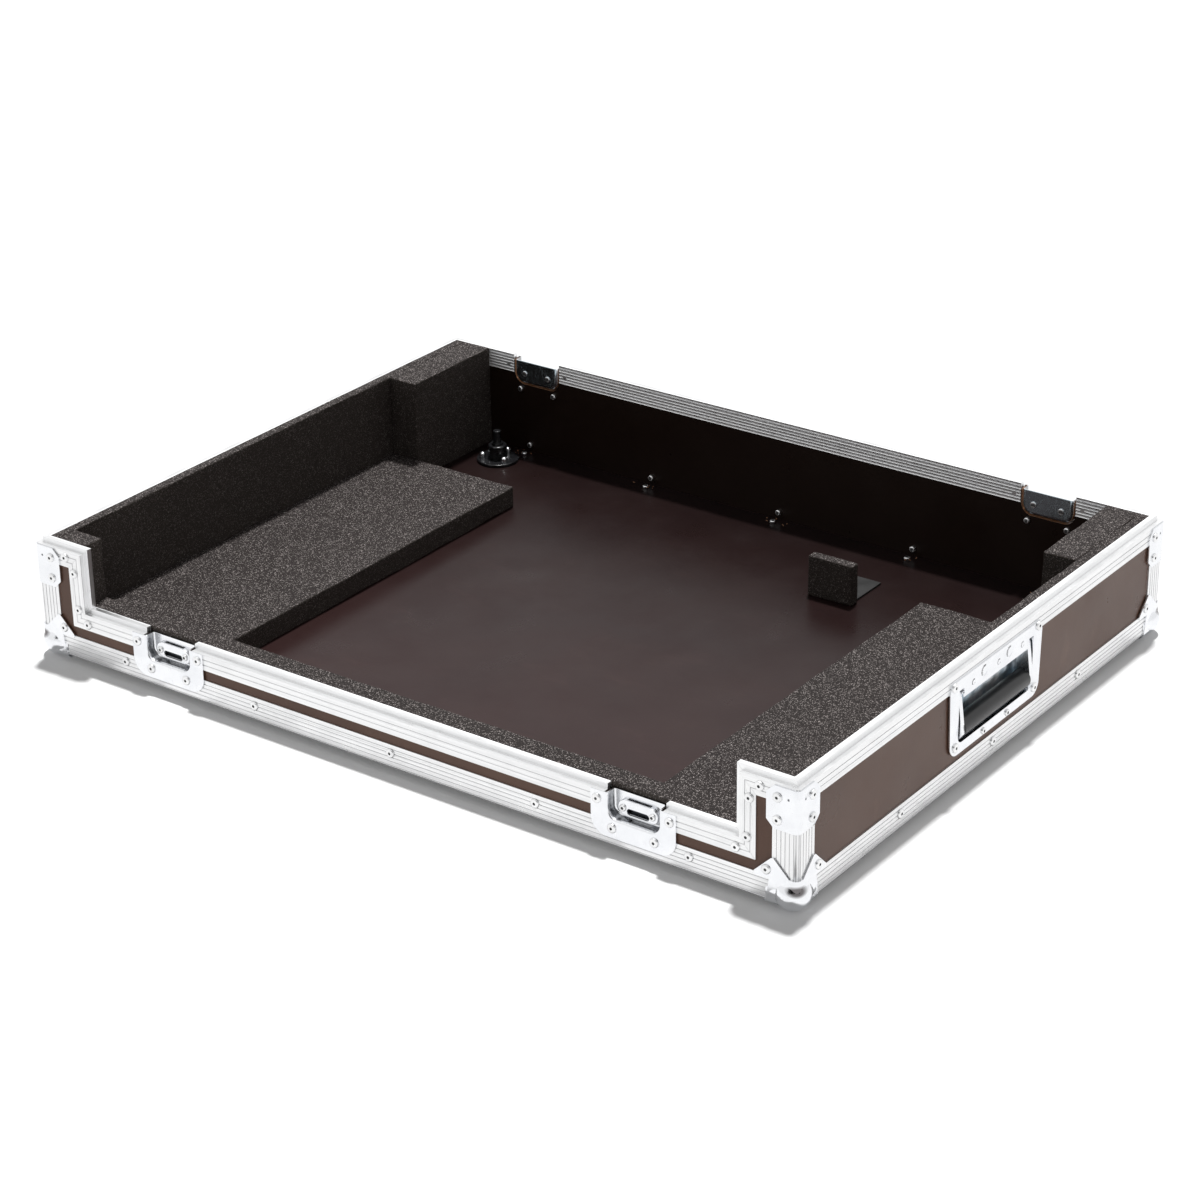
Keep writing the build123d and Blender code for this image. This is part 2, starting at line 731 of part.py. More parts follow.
def lip_band():
    """The room taken by the inner lips of the rim round the top of the walls."""
    out_x = half_w - rim_inner
    out_y = half_d - rim_inner
    z0 = ledge_z - rim_lip_drop
    walls = box(-half_w, half_w, -half_d, half_d, z0, tongue_z)
    return walls - box(-out_x, out_x, -out_y, out_y, z0, tongue_z)


def side_liner():
    """Foam against the right end wall, hollowed behind for the handle's pan."""
    foam = box(half_w - liner_out, half_w - inner, inner - half_d, half_d - inner, floor_top, tongue_z)
    return foam - lip_band() - pan_pocket()


def rear_block():
    """Thick foam in the rear right corner."""
    foam = box(half_w - block_out, half_w - liner_out, rear_block_y, half_d - inner, floor_top, tongue_z)
    return foam - lip_band()


def front_block():
    """Foam behind the right tall end of the front wall."""
    return box(half_w - block_out, half_w - liner_out, rim_inner - half_d, strip_out - half_d,
               floor_top, tongue_z)


def latch_pocket(centre):
    """The room behind a front latch recess that the foam strip leaves free."""
    half = latch_width / 2 + skin + seat_gap
    back = latch_depth + skin + striker_tail + seat_gap
    foot = low_z - latch_drop - skin - seat_gap
    return box(centre - half, centre + half, -half_d, back - half_d, foot, low_z + seat_gap)


def front_strip():
    """Foam behind the low front wall."""
    out = half_w - block_out
    foam = box(-out, out, rim_inner - half_d, strip_out - half_d, floor_top, low_z + tongue_rise)
    return foam - [latch_pocket(centre) for centre in front_latches]


def floor_pad():
    """Foam on the floor along the right end."""
    out = half_w - liner_out
    return box(out - pad_width, out, strip_out - half_d, rear_block_y, floor_top, floor_top + foam_thick)


# Stop block, bracket and the round fitting

stop_x = half_w - liner_out - pad_width - stop_pad_gap - stop_width / 2
stop_y = rear_block_y - stop_lead
bracket_y = stop_y + stop_depth


def stop_block():
    """Foam block that keeps the controller forwards."""
    return box(stop_x - stop_width / 2, stop_x + stop_width / 2, stop_y, bracket_y, floor_top,
               floor_top + stop_height)


def stop_bracket():
    """Bent plate that holds the stop block up."""
    x0 = stop_x - bracket_width / 2
    x1 = stop_x + bracket_width / 2
    rise = box(x0, x1, bracket_y, bracket_y + bracket_sheet, floor_top, floor_top + bracket_rise)
    return rise + box(x0, x1, bracket_y, bracket_y + bracket_reach, floor_top, floor_top + bracket_sheet)


post_x = block_out + post_side_gap + post_flange_radius - half_w
post_y = half_d - inner - post_rear_gap - post_flange_radius


def post_flange():
    """Round flange screwed to the floor."""
    disc = Cylinder(post_flange_radius, post_flange_height, align=CENTRED_UP)
    disc = fillet(disc.edges().group_by(Axis.Z)[-1], post_round)
    return Pos(post_x, post_y, floor_top) * disc


def post_neck():
    """Neck on the flange, with a collar and a stub."""
    neck = Cylinder(post_body_radius, post_body_height, align=CENTRED_UP)
    neck = fillet(neck.edges().group_by(Axis.Z)[-1], post_neck_round)
    collar = Pos(0, 0, post_body_height) * Cylinder(post_collar_radius, post_collar_height, align=CENTRED_UP)
    stub_z = post_body_height + post_collar_height
    stub = Cylinder(post_stub_radius, post_stub_height, align=CENTRED_UP)
    stub = fillet(stub.edges().group_by(Axis.Z)[-1], post_round)
    return Pos(post_x, post_y, floor_top + post_flange_height) * (neck + collar + Pos(0, 0, stub_z) * stub)


def post_nuts():
    """Domed nuts on the flange."""
    nut = Cylinder(post_nut_radius, post_nut_height, align=CENTRED_UP)
    nut = fillet(nut.edges().group_by(Axis.Z)[-1], post_nut_round)
    z = floor_top + post_flange_height
    nuts = []
    for turn in post_nut_turns:
        x = post_x + post_nut_circle * cos(radians(turn))
        y = post_y + post_nut_circle * sin(radians(turn))
        nuts.append(Pos(x, y, z) * nut)
    return nuts


def group(solids):
    """Several separate solids as one node."""
    return Compound(children=[solid for shape in solids for solid in shape.solids()])


def drilled_all(shapes):
    """Pieces with the rivet holes that reach them."""
    return [drilled(shape) for shape in shapes]


def four_corners(front_right):
    """A piece made for the front right corner, at all four corners."""
    front_left = other_end(front_right)
    return {"front_right": front_right, "front_left": front_left,
            "rear_right": other_side(front_right), "rear_left": other_side(front_left)}


# All pieces by name
pieces = {
    "floor_panel": floor_panel(),
    "front_wall_panel": front_wall_panel(),
    "rear_wall_panel": rear_wall_panel(),
    "bottom_angle_front": bottom_angle_front(),
    "bottom_angle_rear": drilled(other_side(front_bar())),
    "rim_front": group(drilled_all(rim_front_lengths())),
    "rim_rear": group(drilled_all(rim_rear_lengths())),
    "front_strip": front_strip(),
    "stop_block": stop_block(),
    "stop_bracket": stop_bracket(),
    "floor_fitting_flange": post_flange(),
    "floor_fitting_neck": post_neck(),
    "floor_fitting_nuts": group(post_nuts()),
    "corner_braces": group(four_corners(corner_brace()).values()),
}

for name, right in (("wall_panel", right_wall_panel()), ("bottom_angle", right_bar()), ("rim", rim_right()),
                    ("rim_horn_top", horn_top()), ("rim_horn_upright", horn_upright()),
                    ("side_liner", side_liner()), ("front_block", front_block()),
                    ("rear_block", rear_block()), ("floor_pad", floor_pad()),
                    ("handle_dish", handle_dish()), ("handle_bail", handle_bail()),
                    ("handle_grip", handle_grip()), ("handle_pin", handle_pin())):
    pieces[name + "_right"] = right
    pieces[name + "_left"] = other_end(right)

springs = handle_springs()
pieces["handle_springs_right"] = group(springs)
pieces["handle_springs_left"] = group([other_end(spring) for spring in springs])

for name, shape in (("corner_post", drilled(corner_post())), ("ball_corner", ball_corner())):
    for corner, piece in four_corners(shape).items():
        pieces[name + "_" + corner] = piece

for corner, dish in zip(latch_names, at_latches(latch_dish)):
    pieces["latch_dish_" + corner] = pierced(dish, latch_places, latch_depth + 2 * skin)
pieces["latch_strikers"] = group([pierced(striker, striker_places, latch_depth)
                                  for striker in at_latches(latch_striker)])

long_rivet = rivet(inner, tail=rivet_tail_height)
pieces["edge_rivets"] = group(place(rivet(inner), front_edge_places + end_edge_places + horn_places)
                              + place(long_rivet, rear_edge_places))
pieces["floor_rivets"] = group(place(rivet(inner), lined_floor_places)
                               + place(long_rivet, rear_floor_places))
pieces["corner_rivets"] = group(place(rivet(inner + skin), brace_places + ball_places))
pieces["latch_rivets"] = group(place(rivet(inner + skin), latch_lined_places)
                               + place(rivet(inner + skin, tail=rivet_tail_height), latch_open_places)
                               + place(rivet(striker_stand + skin, small_rivet_radius, striker_tail),
                                       striker_places))
pieces["handle_rivets"] = group(place(rivet(inner + skin), handle_places)
                                + place(rivet(inner + skin, small_rivet_radius), handle_foot_places))

os.makedirs("parts", exist_ok=True)
for name, shape in pieces.items():
    export_step(shape, "parts/" + name + ".step")
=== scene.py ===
import bpy
import numpy as np
from mathutils import Matrix, Vector


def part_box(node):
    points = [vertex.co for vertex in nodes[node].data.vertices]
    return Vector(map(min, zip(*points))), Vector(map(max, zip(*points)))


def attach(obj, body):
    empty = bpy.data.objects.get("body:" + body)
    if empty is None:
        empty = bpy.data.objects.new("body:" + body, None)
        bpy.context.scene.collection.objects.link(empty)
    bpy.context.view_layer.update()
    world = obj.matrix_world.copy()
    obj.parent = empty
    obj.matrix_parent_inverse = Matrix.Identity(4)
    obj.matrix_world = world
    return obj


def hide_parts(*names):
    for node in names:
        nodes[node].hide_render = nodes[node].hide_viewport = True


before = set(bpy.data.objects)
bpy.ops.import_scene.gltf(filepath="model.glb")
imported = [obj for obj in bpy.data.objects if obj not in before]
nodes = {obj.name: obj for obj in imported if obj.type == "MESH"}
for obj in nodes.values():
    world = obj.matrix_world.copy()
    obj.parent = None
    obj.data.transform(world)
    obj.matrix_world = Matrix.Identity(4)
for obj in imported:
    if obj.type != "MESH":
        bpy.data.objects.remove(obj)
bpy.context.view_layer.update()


# Plywood shell
# Five panels of thin plywood faced on both sides with dark brown phenolic film, held by the
# edging and its rivets. The film is smooth and a little shiny, scuffed and dusty inside, and
# the raw cut edge shows copper brown where the rear latch recesses are let in.

def add(tree, kind, sockets=(), **settings):
    """A shader node of a kind with its settings, and its sockets set or linked by name."""
    node = tree.nodes.new("ShaderNode" + kind)
    for key, value in settings.items():
        setattr(node, key, value)
    for key, value in dict(sockets).items():
        if isinstance(value, bpy.types.NodeSocket):
            tree.links.new(value, node.inputs[key])
        else:
            node.inputs[key].default_value = value
    return node


def finish_of(name, colour, roughness, metallic=0.0):
    """A new surface finish: (material, tree, shader, object coordinates)."""
    made = bpy.data.materials.new(name)
    made.use_nodes = True
    tree = made.node_tree
    shader = tree.nodes["Principled BSDF"]
    shader.inputs["Base Color"].default_value = (*colour, 1.0)
    shader.inputs["Roughness"].default_value = roughness
    shader.inputs["Metallic"].default_value = metallic
    made.diffuse_color = (*colour, 1.0)
    return made, tree, shader, add(tree, "TexCoord").outputs["Object"]


def stretched(tree, coordinates, scale):
    """Coordinates multiplied along each axis."""
    return add(tree, "Mapping", {"Vector": coordinates, "Scale": scale}).outputs["Vector"]


def noise(tree, coordinates, scale, detail=3.0, rough=0.55):
    """Cloudy noise from 0 to 1, its scale in bumps per metre."""
    sockets = {"Vector": coordinates, "Scale": scale, "Detail": detail, "Roughness": rough}
    return add(tree, "TexNoise", sockets).outputs["Fac"]


def ramp(tree, factor, stops):
    """Greys or colours blended along a factor: (place, grey or colour) stops."""
    node = add(tree, "ValToRGB", {"Fac": factor})
    elements = node.color_ramp.elements
    while len(elements) < len(stops):
        elements.new(0.5)
    for element, (place, tint) in zip(elements, stops):
        element.position = place
        element.color = (tint, tint, tint, 1.0) if isinstance(tint, float) else (*tint, 1.0)
    return node.outputs["Color"]


def mixed(tree, factor, first, second):
    """Two colours mixed by a factor."""
    node = add(tree, "Mix", data_type="RGBA", blend_type="MIX")
    for index, value in ((0, factor), (6, first), (7, second)):
        if isinstance(value, bpy.types.NodeSocket):
            tree.links.new(value, node.inputs[index])
        elif index == 0:
            node.inputs[index].default_value = value
        else:
            node.inputs[index].default_value = (*value, 1.0)
    return node.outputs[2]


def math(tree, operation, first, second=0.0, third=0.5):
    """One step of arithmetic on two or three values."""
    return add(tree, "Math", {0: first, 1: second, 2: third}, operation=operation).outputs[0]


def bumped(tree, shader, height, depth, strength=1.0):
    """Relief on a shader from a height between 0 and 1, its depth in metres."""
    sockets = {"Height": height, "Distance": depth, "Strength": strength}
    tree.links.new(add(tree, "Bump", sockets).outputs["Normal"], shader.inputs["Normal"])


# One film in a painted lit copy and a painted shaded copy: the walls' film is painted lighter and
# the floor's darker, as painted light and painted shade.
WALL_FILM_PAINTED_LIGHT = (0.104, 0.055, 0.038)
WALL_PALE_PAINTED_LIGHT = (0.130, 0.071, 0.050)
FLOOR_FILM_PAINTED_SHADE = (0.028, 0.0135, 0.0132)
FLOOR_PALE_PAINTED_SHADE = (0.036, 0.0185, 0.0175)
WALL_SHEEN = 0.22
FLOOR_SHEEN = 0.13
RAW_EDGE = (0.85, 0.47, 0.28)
RAW_DARK = (0.48, 0.24, 0.13)
INNER_FACE = (0.3684, 0.2739)
# Painted shade: the rear wall's inner faces are darkened to this share of the film.
REAR_INNER_PAINTED_SHADE = 0.17
# Painted shadow of the rear wall: the floor film darkens to this share towards the back, between
# these places in y.
FLOOR_BACK_PAINTED_SHADOW = 0.35
PAINTED_SHADOW_PLACES = (-0.2, 0.26)
SCUFFS = 0.25
SCUFF_PALENESS = 1.8
DUST_CELLS = 90.0
DUST_AMOUNT = 0.35
DUST_GREY = (0.35, 0.33, 0.31)
PIMPLE_SCALE = 900.0
PIMPLE_DEPTH = 0.00012


def inside_mask(tree, spot):
    """1 inside the walls and 0 outside: |x| and |y| both under the inner faces."""
    split = add(tree, "SeparateXYZ", {"Vector": spot})
    across = math(tree, "LESS_THAN", math(tree, "ABSOLUTE", split.outputs["X"]), INNER_FACE[0])
    through = math(tree, "LESS_THAN", math(tree, "ABSOLUTE", split.outputs["Y"]), INNER_FACE[1])
    return math(tree, "MULTIPLY", across, through)


def film_finish(name, dark, pale, sheen, inner_painted_shade=1.0, back_painted_shadow=1.0):
    """Phenolic film: clouded brown, fine pimples, rubbed patches and dust specks. With an inner
    painted shade the inner faces are darkened to that share of the film as painted shade, and faces
    that don't look along Y show the raw cut. A back painted shadow darkens the film evenly towards
    the back of the case, as the painted shadow of the rear wall."""
    made, tree, shader, spot = finish_of(name, dark, 0.3)
    clouds = noise(tree, spot, 9.0, 4.0)
    colour = mixed(tree, ramp(tree, clouds, ((0.35, 0.0), (0.7, 1.0))), dark, pale)
    rubbed = noise(tree, stretched(tree, spot, (1.0, 2.4, 1.0)), 16.0, 6.0, 0.7)
    rubbed = ramp(tree, rubbed, ((0.56, 0.0), (0.74, SCUFFS)))
    colour = mixed(tree, rubbed, colour, tuple(value * SCUFF_PALENESS for value in pale))
    cells = add(tree, "TexVoronoi", {"Vector": spot, "Scale": DUST_CELLS}, feature="F1")
    dust = ramp(tree, cells.outputs["Distance"], ((0.0, 1.0), (0.05, 0.0)))
    dust = math(tree, "MULTIPLY", dust, DUST_AMOUNT * SCUFFS)
    colour = mixed(tree, dust, colour, DUST_GREY)
    # Painted shade on the inner faces; the raw cut on faces that don't look along Y is real.
    if inner_painted_shade < 1.0:
        inner = tuple(value * inner_painted_shade for value in dark)
        colour = mixed(tree, inside_mask(tree, spot), colour, inner)
        facing = add(tree, "SeparateXYZ", {"Vector": add(tree, "NewGeometry").outputs["Normal"]})
        flat = math(tree, "ABSOLUTE", facing.outputs["Y"])
        raw = ramp(tree, noise(tree, stretched(tree, spot, (1.0, 12.0, 1.0)), 90.0, 4.0),
                   ((0.3, RAW_EDGE), (0.7, RAW_DARK)))
        colour = mixed(tree, ramp(tree, flat, ((0.5, 0.0), (0.6, 1.0))), raw, colour)
    # Painted shadow of the rear wall, darker towards the back of the case.
    if back_painted_shadow < 1.0:
        depth = add(tree, "SeparateXYZ", {"Vector": spot}).outputs["Y"]
        painted_shadow = add(tree, "MapRange", {"Value": depth, "From Min": PAINTED_SHADOW_PLACES[0],
                                      "From Max": PAINTED_SHADOW_PLACES[1], "To Min": 1.0,
                                      "To Max": back_painted_shadow}).outputs["Result"]
        colour = mixed(tree, painted_shadow, (0.0, 0.0, 0.0), colour)
    shader.inputs["Specular IOR Level"].default_value = sheen
    tree.links.new(colour, shader.inputs["Base Color"])
    gloss = ramp(tree, noise(tree, spot, 22.0, 5.0), ((0.3, 0.26), (0.75, 0.40)))
    tree.links.new(gloss, shader.inputs["Roughness"])
    bumped(tree, shader, noise(tree, spot, PIMPLE_SCALE, 2.0), PIMPLE_DEPTH, 0.35)
    return made


wall_film = film_finish("phenolic_film_walls_painted_light", WALL_FILM_PAINTED_LIGHT, WALL_PALE_PAINTED_LIGHT, WALL_SHEEN)
cut_wall_film = film_finish("phenolic_film_cut_wall_painted_light_and_shade", WALL_FILM_PAINTED_LIGHT, WALL_PALE_PAINTED_LIGHT, WALL_SHEEN,
                            inner_painted_shade=REAR_INNER_PAINTED_SHADE)
floor_film = film_finish("phenolic_film_floor_painted_shade", FLOOR_FILM_PAINTED_SHADE, FLOOR_PALE_PAINTED_SHADE, FLOOR_SHEEN,
                         back_painted_shadow=FLOOR_BACK_PAINTED_SHADOW)
for name, film in (("floor_panel", floor_film), ("front_wall_panel", wall_film),
                   ("rear_wall_panel", cut_wall_film), ("wall_panel_left", wall_film),
                   ("wall_panel_right", wall_film)):
    nodes[name].data.materials.clear()
    nodes[name].data.materials.append(film)


# Bottom edging and corner posts
# Extruded aluminium angle with fine ribs along it, satin as it comes from the mill, mitred at
# the corners and riveted on. Handling leaves it lightly rubbed and smudged along its length.

CORNERS = ("front_left", "front_right", "rear_left", "rear_right")
ALUMINIUM = (0.865, 0.868, 0.872)
ALUMINIUM_DULL = (0.64, 0.643, 0.648)
SATIN = (0.27,) * 3
SMUDGED = (0.43,) * 3
OUTER_FACE = (0.376, 0.2815)
# Painted shade in the groove beds of the edging and in the rim's inner grooves, at these depths
# inside the case.
GROOVE_BANDS = ((0.00018, 0.0006), (0.0084, 0.00884))
GROOVE_PAINTED_SHADE_AMOUNT = 0.55
GROOVE_PAINTED_SHADE = (0.30, 0.30, 0.31)
RIBBED_FROM = 0.0082
RIBBED_ROUGHNESS = (0.55,) * 3
RIB_DEPTH = 0.0006
ALONG = {"x": (0.05, 12.0, 12.0), "y": (12.0, 0.05, 12.0), "z": (12.0, 12.0, 0.05)}
WELD_REACH = 0.000002
FLAT_ANGLE = 0.01
EDGE_ANGLE = 0.6


def between(tree, value, low, high):
    """1 where a value lies between two limits, else 0."""
    above = math(tree, "GREATER_THAN", value, low)
    return math(tree, "MULTIPLY", above, math(tree, "LESS_THAN", value, high))


def depth_inside(tree, split):
    """How far inside the case a point is, from split coordinates: the smaller of half the width
    less |x| and half the depth less |y|."""
    across = math(tree, "SUBTRACT", OUTER_FACE[0], math(tree, "ABSOLUTE", split.outputs["X"]))
    through = math(tree, "SUBTRACT", OUTER_FACE[1], math(tree, "ABSOLUTE", split.outputs["Y"]))
    return math(tree, "MINIMUM", across, through)


def groove_painted_shade_mask(tree, spot):
    """1 on the beds of the grooves, for their painted shade: upright faces whose depth inside the
    case is in a band.
    """
    depth = depth_inside(tree, add(tree, "SeparateXYZ", {"Vector": spot}))
    facing = add(tree, "SeparateXYZ", {"Vector": add(tree, "NewGeometry").outputs["Normal"]})
    upright = math(tree, "LESS_THAN", math(tree, "ABSOLUTE", facing.outputs["Z"]), 0.5)
    found = 0.0
    for low, high in GROOVE_BANDS:
        found = math(tree, "ADD", between(tree, depth, low, high), found)
    return math(tree, "MULTIPLY", found, upright)


def aluminium_finish(name, scale, painted_groove_shade=True, ribs=0.0):
    """Satin mill aluminium with drawing lines, stretched by a scale that is small along the bar.
    With painted groove shade, the groove beds are painted darker as shade. Ribs of a pitch, a sine
    of the height, are raised on the inner side of the rim."""
    made, tree, shader, spot = finish_of(name, ALUMINIUM, 0.3, 1.0)
    lines = noise(tree, stretched(tree, spot, scale), 60.0, 3.0, 0.6)
    smudges = noise(tree, spot, 28.0, 5.0, 0.65)
    colour = mixed(tree, ramp(tree, lines, ((0.3, 0.0), (0.75, 0.55))), ALUMINIUM, ALUMINIUM_DULL)
    colour = mixed(tree, ramp(tree, smudges, ((0.5, 0.0), (0.8, 0.4))), colour, ALUMINIUM_DULL)
    # Painted shade in the groove beds.
    if painted_groove_shade:
        shade = math(tree, "MULTIPLY", groove_painted_shade_mask(tree, spot), GROOVE_PAINTED_SHADE_AMOUNT)
        colour = mixed(tree, shade, colour, GROOVE_PAINTED_SHADE)
    tree.links.new(colour, shader.inputs["Base Color"])
    gloss = mixed(tree, ramp(tree, smudges, ((0.35, 0.0), (0.75, 1.0))), SATIN, SMUDGED)
    tree.links.new(gloss, shader.inputs["Roughness"])
    if ribs > 0.0:
        split = add(tree, "SeparateXYZ", {"Vector": spot})
        turn = math(tree, "MULTIPLY", split.outputs["Z"], 2 * np.pi / ribs)
        wave = math(tree, "SINE", turn)
        inner = math(tree, "GREATER_THAN", depth_inside(tree, split), RIBBED_FROM)
        gloss = mixed(tree, inner, gloss, RIBBED_ROUGHNESS)
        tree.links.new(gloss, shader.inputs["Roughness"])
        crest = ramp(tree, math(tree, "MULTIPLY_ADD", wave, 0.5),
                     ((0.0, 0.0), (0.55, 0.12), (1.0, 1.0)))
        bumped(tree, shader, math(tree, "MULTIPLY", crest, inner), RIB_DEPTH)
    else:
        bumped(tree, shader, lines, 0.0001, 0.4)
    return made


aluminium = {axis: aluminium_finish("aluminium_along_" + axis, scale)
             for axis, scale in ALONG.items()}


def softened(name, material, width, segments, flattened=False):
    """A solid piece keeps its shape, gets a finish and has its sharp edges eased by a width; a
    flattened one has the triangles of its flat faces joined first."""
    piece = nodes[name]
    piece.data.materials.clear()
    piece.data.materials.append(material)
    weld = piece.modifiers.new("weld", "WELD")
    weld.merge_threshold = WELD_REACH
    if flattened:
        joined = piece.modifiers.new("joined_flats", "DECIMATE")
        joined.decimate_type = "DISSOLVE"
        joined.angle_limit = FLAT_ANGLE
    ease = piece.modifiers.new("eased_edges", "BEVEL")
    ease.width = width
    ease.segments = segments
    ease.limit_method = "ANGLE"
    ease.angle_limit = EDGE_ANGLE
    ease.use_clamp_overlap = True
    ease.harden_normals = flattened
    return piece


for name in ("bottom_angle_front", "bottom_angle_rear"):
    softened(name, aluminium["x"], 0.0001, 1)
for name in ("bottom_angle_left", "bottom_angle_right"):
    softened(name, aluminium["y"], 0.0001, 1)
for corner in CORNERS:
    softened("corner_post_" + corner, aluminium["z"], 0.0001, 1)


# Rim profile
# Extruded aluminium channel pushed over the top of the walls, with a ledge for the lid to sit
# on and a tongue that enters the lid's groove. Cut square at the latches, mitred at the turns.

RIDGE_PITCH = 0.0029

rim_metal = {axis: aluminium_finish("rim_aluminium_along_" + axis, ALONG[axis], ribs=RIDGE_PITCH)
             for axis in "xy"}
for name in ("rim_left", "rim_right"):
    softened(name, rim_metal["y"], 0.00015, 1)
for name in ("rim_front", "rim_rear", "rim_horn_top_left", "rim_horn_top_right"):
    softened(name, rim_metal["x"], 0.00015, 1)
for name in ("rim_horn_upright_left", "rim_horn_upright_right"):
    softened(name, aluminium["z"], 0.00015, 1)


# Ball corners and braces
# Pressed from steel sheet and bright zinc plated: a ball with three legs at each foot, and a
# bent plate under the rim at each corner. Four rivets hold each brace and two each ball.

ZINC = (0.84, 0.85, 0.87)
ZINC_DARK = (0.66, 0.675, 0.71)
# Painted shade in the crease over each ball: its level, its half size and its colour.
CREASE_LEVEL = 0.0205
CREASE_HALF = (0.0125, 0.0048)
CREASE_PAINTED_SHADE = (0.055, 0.04, 0.04)
BALL_CENTRE = (0.367, 0.2725)


def zinc_finish(name, roughness=0.2):
    """Bright zinc plate: bluish clouds, faint draw marks, small rubs."""
    made, tree, shader, spot = finish_of(name, ZINC, roughness, 1.0)
    clouds = noise(tree, spot, 45.0, 4.0, 0.6)
    colour = mixed(tree, ramp(tree, clouds, ((0.38, 0.0), (0.72, 0.45))), ZINC, ZINC_DARK)
    tree.links.new(colour, shader.inputs["Base Color"])
    rubs = noise(tree, stretched(tree, spot, (3.0, 1.0, 0.6)), 160.0, 4.0, 0.7)
    gloss = mixed(tree, ramp(tree, rubs, ((0.35, 0.0), (0.75, 1.0))), (roughness - 0.06,) * 3,
                  (roughness + 0.12,) * 3)
    tree.links.new(gloss, shader.inputs["Roughness"])
    bumped(tree, shader, clouds, 0.0001, 0.15)
    return made


def painted_over(tree, factor, tint):
    """The base colour of a finish, mixed towards a tint by a factor."""
    base = tree.nodes["Principled BSDF"].inputs["Base Color"]
    tree.links.new(mixed(tree, factor, base.links[0].from_socket, tint), base)


def ball_finish():
    """Zinc with painted shade in the crease over each ball: an oval in u and z, where u is |x| less
    |y|, both taken from the ball's centre, that darkens smoothly towards its middle."""
    made = zinc_finish("bright_zinc_ball_corner", 0.16)
    tree = made.node_tree
    split = add(tree, "SeparateXYZ", {"Vector": add(tree, "TexCoord").outputs["Object"]})
    skew = math(tree, "SUBTRACT", math(tree, "ABSOLUTE", split.outputs["X"]),
                math(tree, "ABSOLUTE", split.outputs["Y"]))
    skew = math(tree, "SUBTRACT", skew, BALL_CENTRE[0] - BALL_CENTRE[1])
    skew = math(tree, "MULTIPLY", skew, 1 / CREASE_HALF[0])
    rise = math(tree, "SUBTRACT", split.outputs["Z"], CREASE_LEVEL)
    rise = math(tree, "MULTIPLY", rise, 1 / CREASE_HALF[1])
    far = math(tree, "ADD", math(tree, "MULTIPLY", skew, skew), math(tree, "MULTIPLY", rise, rise))
    painted_over(tree, ramp(tree, far, ((0.25, 0.85), (1.0, 0.0))), CREASE_PAINTED_SHADE)
    return made


zinc = zinc_finish("bright_zinc")
ball_zinc = ball_finish()
for corner in CORNERS:
    softened("ball_corner_" + corner, ball_zinc, 0.0005, 3)
softened("corner_braces", zinc, 0.0003, 2, flattened=True)


# Latch recesses
# Shallow dishes pressed from plated steel, let into the wall at the rim, each with a riveted
# striker bridge that the lid's latch hooks under.

FRONT_SLOT = (0.2326, 0.0356)
REAR_SLOT = (0.272, 0.0891)
SLOT_HALF = (0.0115, 0.0034)
PAN_BED = (0.0082, 0.0088)
PAN_WALLS = (0.0018, 0.0078)
PAN_BACK = 0.0089
# Painted dark reflection on the pan's walls at this share, and painted shade behind the slot.
PAN_WALL_PAINTED_REFLECTION_AMOUNT = 0.55
BLUED = (0.46, 0.54, 0.59)
RECESS_PAINTED_SHADE_AND_REFLECTION = (0.02, 0.022, 0.025)


def recess_finish(name, centre, level):
    """Zinc that is blued on the back of the pan, with a painted dark reflection on the walls inside
    it and painted shade behind the striker's slot, on a patch round the slot's centre in |x| and
    its level in z."""
    made = zinc_finish(name)
    tree = made.node_tree
    split = add(tree, "SeparateXYZ", {"Vector": add(tree, "TexCoord").outputs["Object"]})
    through = math(tree, "ABSOLUTE", split.outputs["Y"])
    deep = math(tree, "SUBTRACT", OUTER_FACE[1], through)
    across = math(tree, "ABSOLUTE", split.outputs["X"])
    slot = math(tree, "MULTIPLY", between(tree, deep, *PAN_BED),
                between(tree, across, centre - SLOT_HALF[0], centre + SLOT_HALF[0]))
    rise = between(tree, split.outputs["Z"], level - SLOT_HALF[1], level + SLOT_HALF[1])
    slot = math(tree, "MULTIPLY", slot, rise)
    # Painted dark reflection on the pan's walls and painted shade behind the slot.
    wall = math(tree, "MULTIPLY", between(tree, deep, *PAN_WALLS), PAN_WALL_PAINTED_REFLECTION_AMOUNT)
    painted_over(tree, math(tree, "GREATER_THAN", deep, PAN_BACK), BLUED)
    painted_over(tree, math(tree, "MAXIMUM", slot, wall), RECESS_PAINTED_SHADE_AND_REFLECTION)
    return made


front_recess_zinc = recess_finish("bright_zinc_front_recess", *FRONT_SLOT)
rear_recess_zinc = recess_finish("bright_zinc_rear_recess", *REAR_SLOT)
for corner in CORNERS:
    softened("latch_dish_" + corner, rear_recess_zinc if "rear" in corner else front_recess_zinc,
             0.0003, 2, flattened=True)
softened("latch_strikers", zinc, 0.0006, 3)


# Handles
# Recessed steel dishes with a sprung bail: two plates and a rod with a black plastic grip,
# turning on a pin with a coiled return spring at each arm.

GRIP_BLACK = (0.012, 0.012, 0.013)
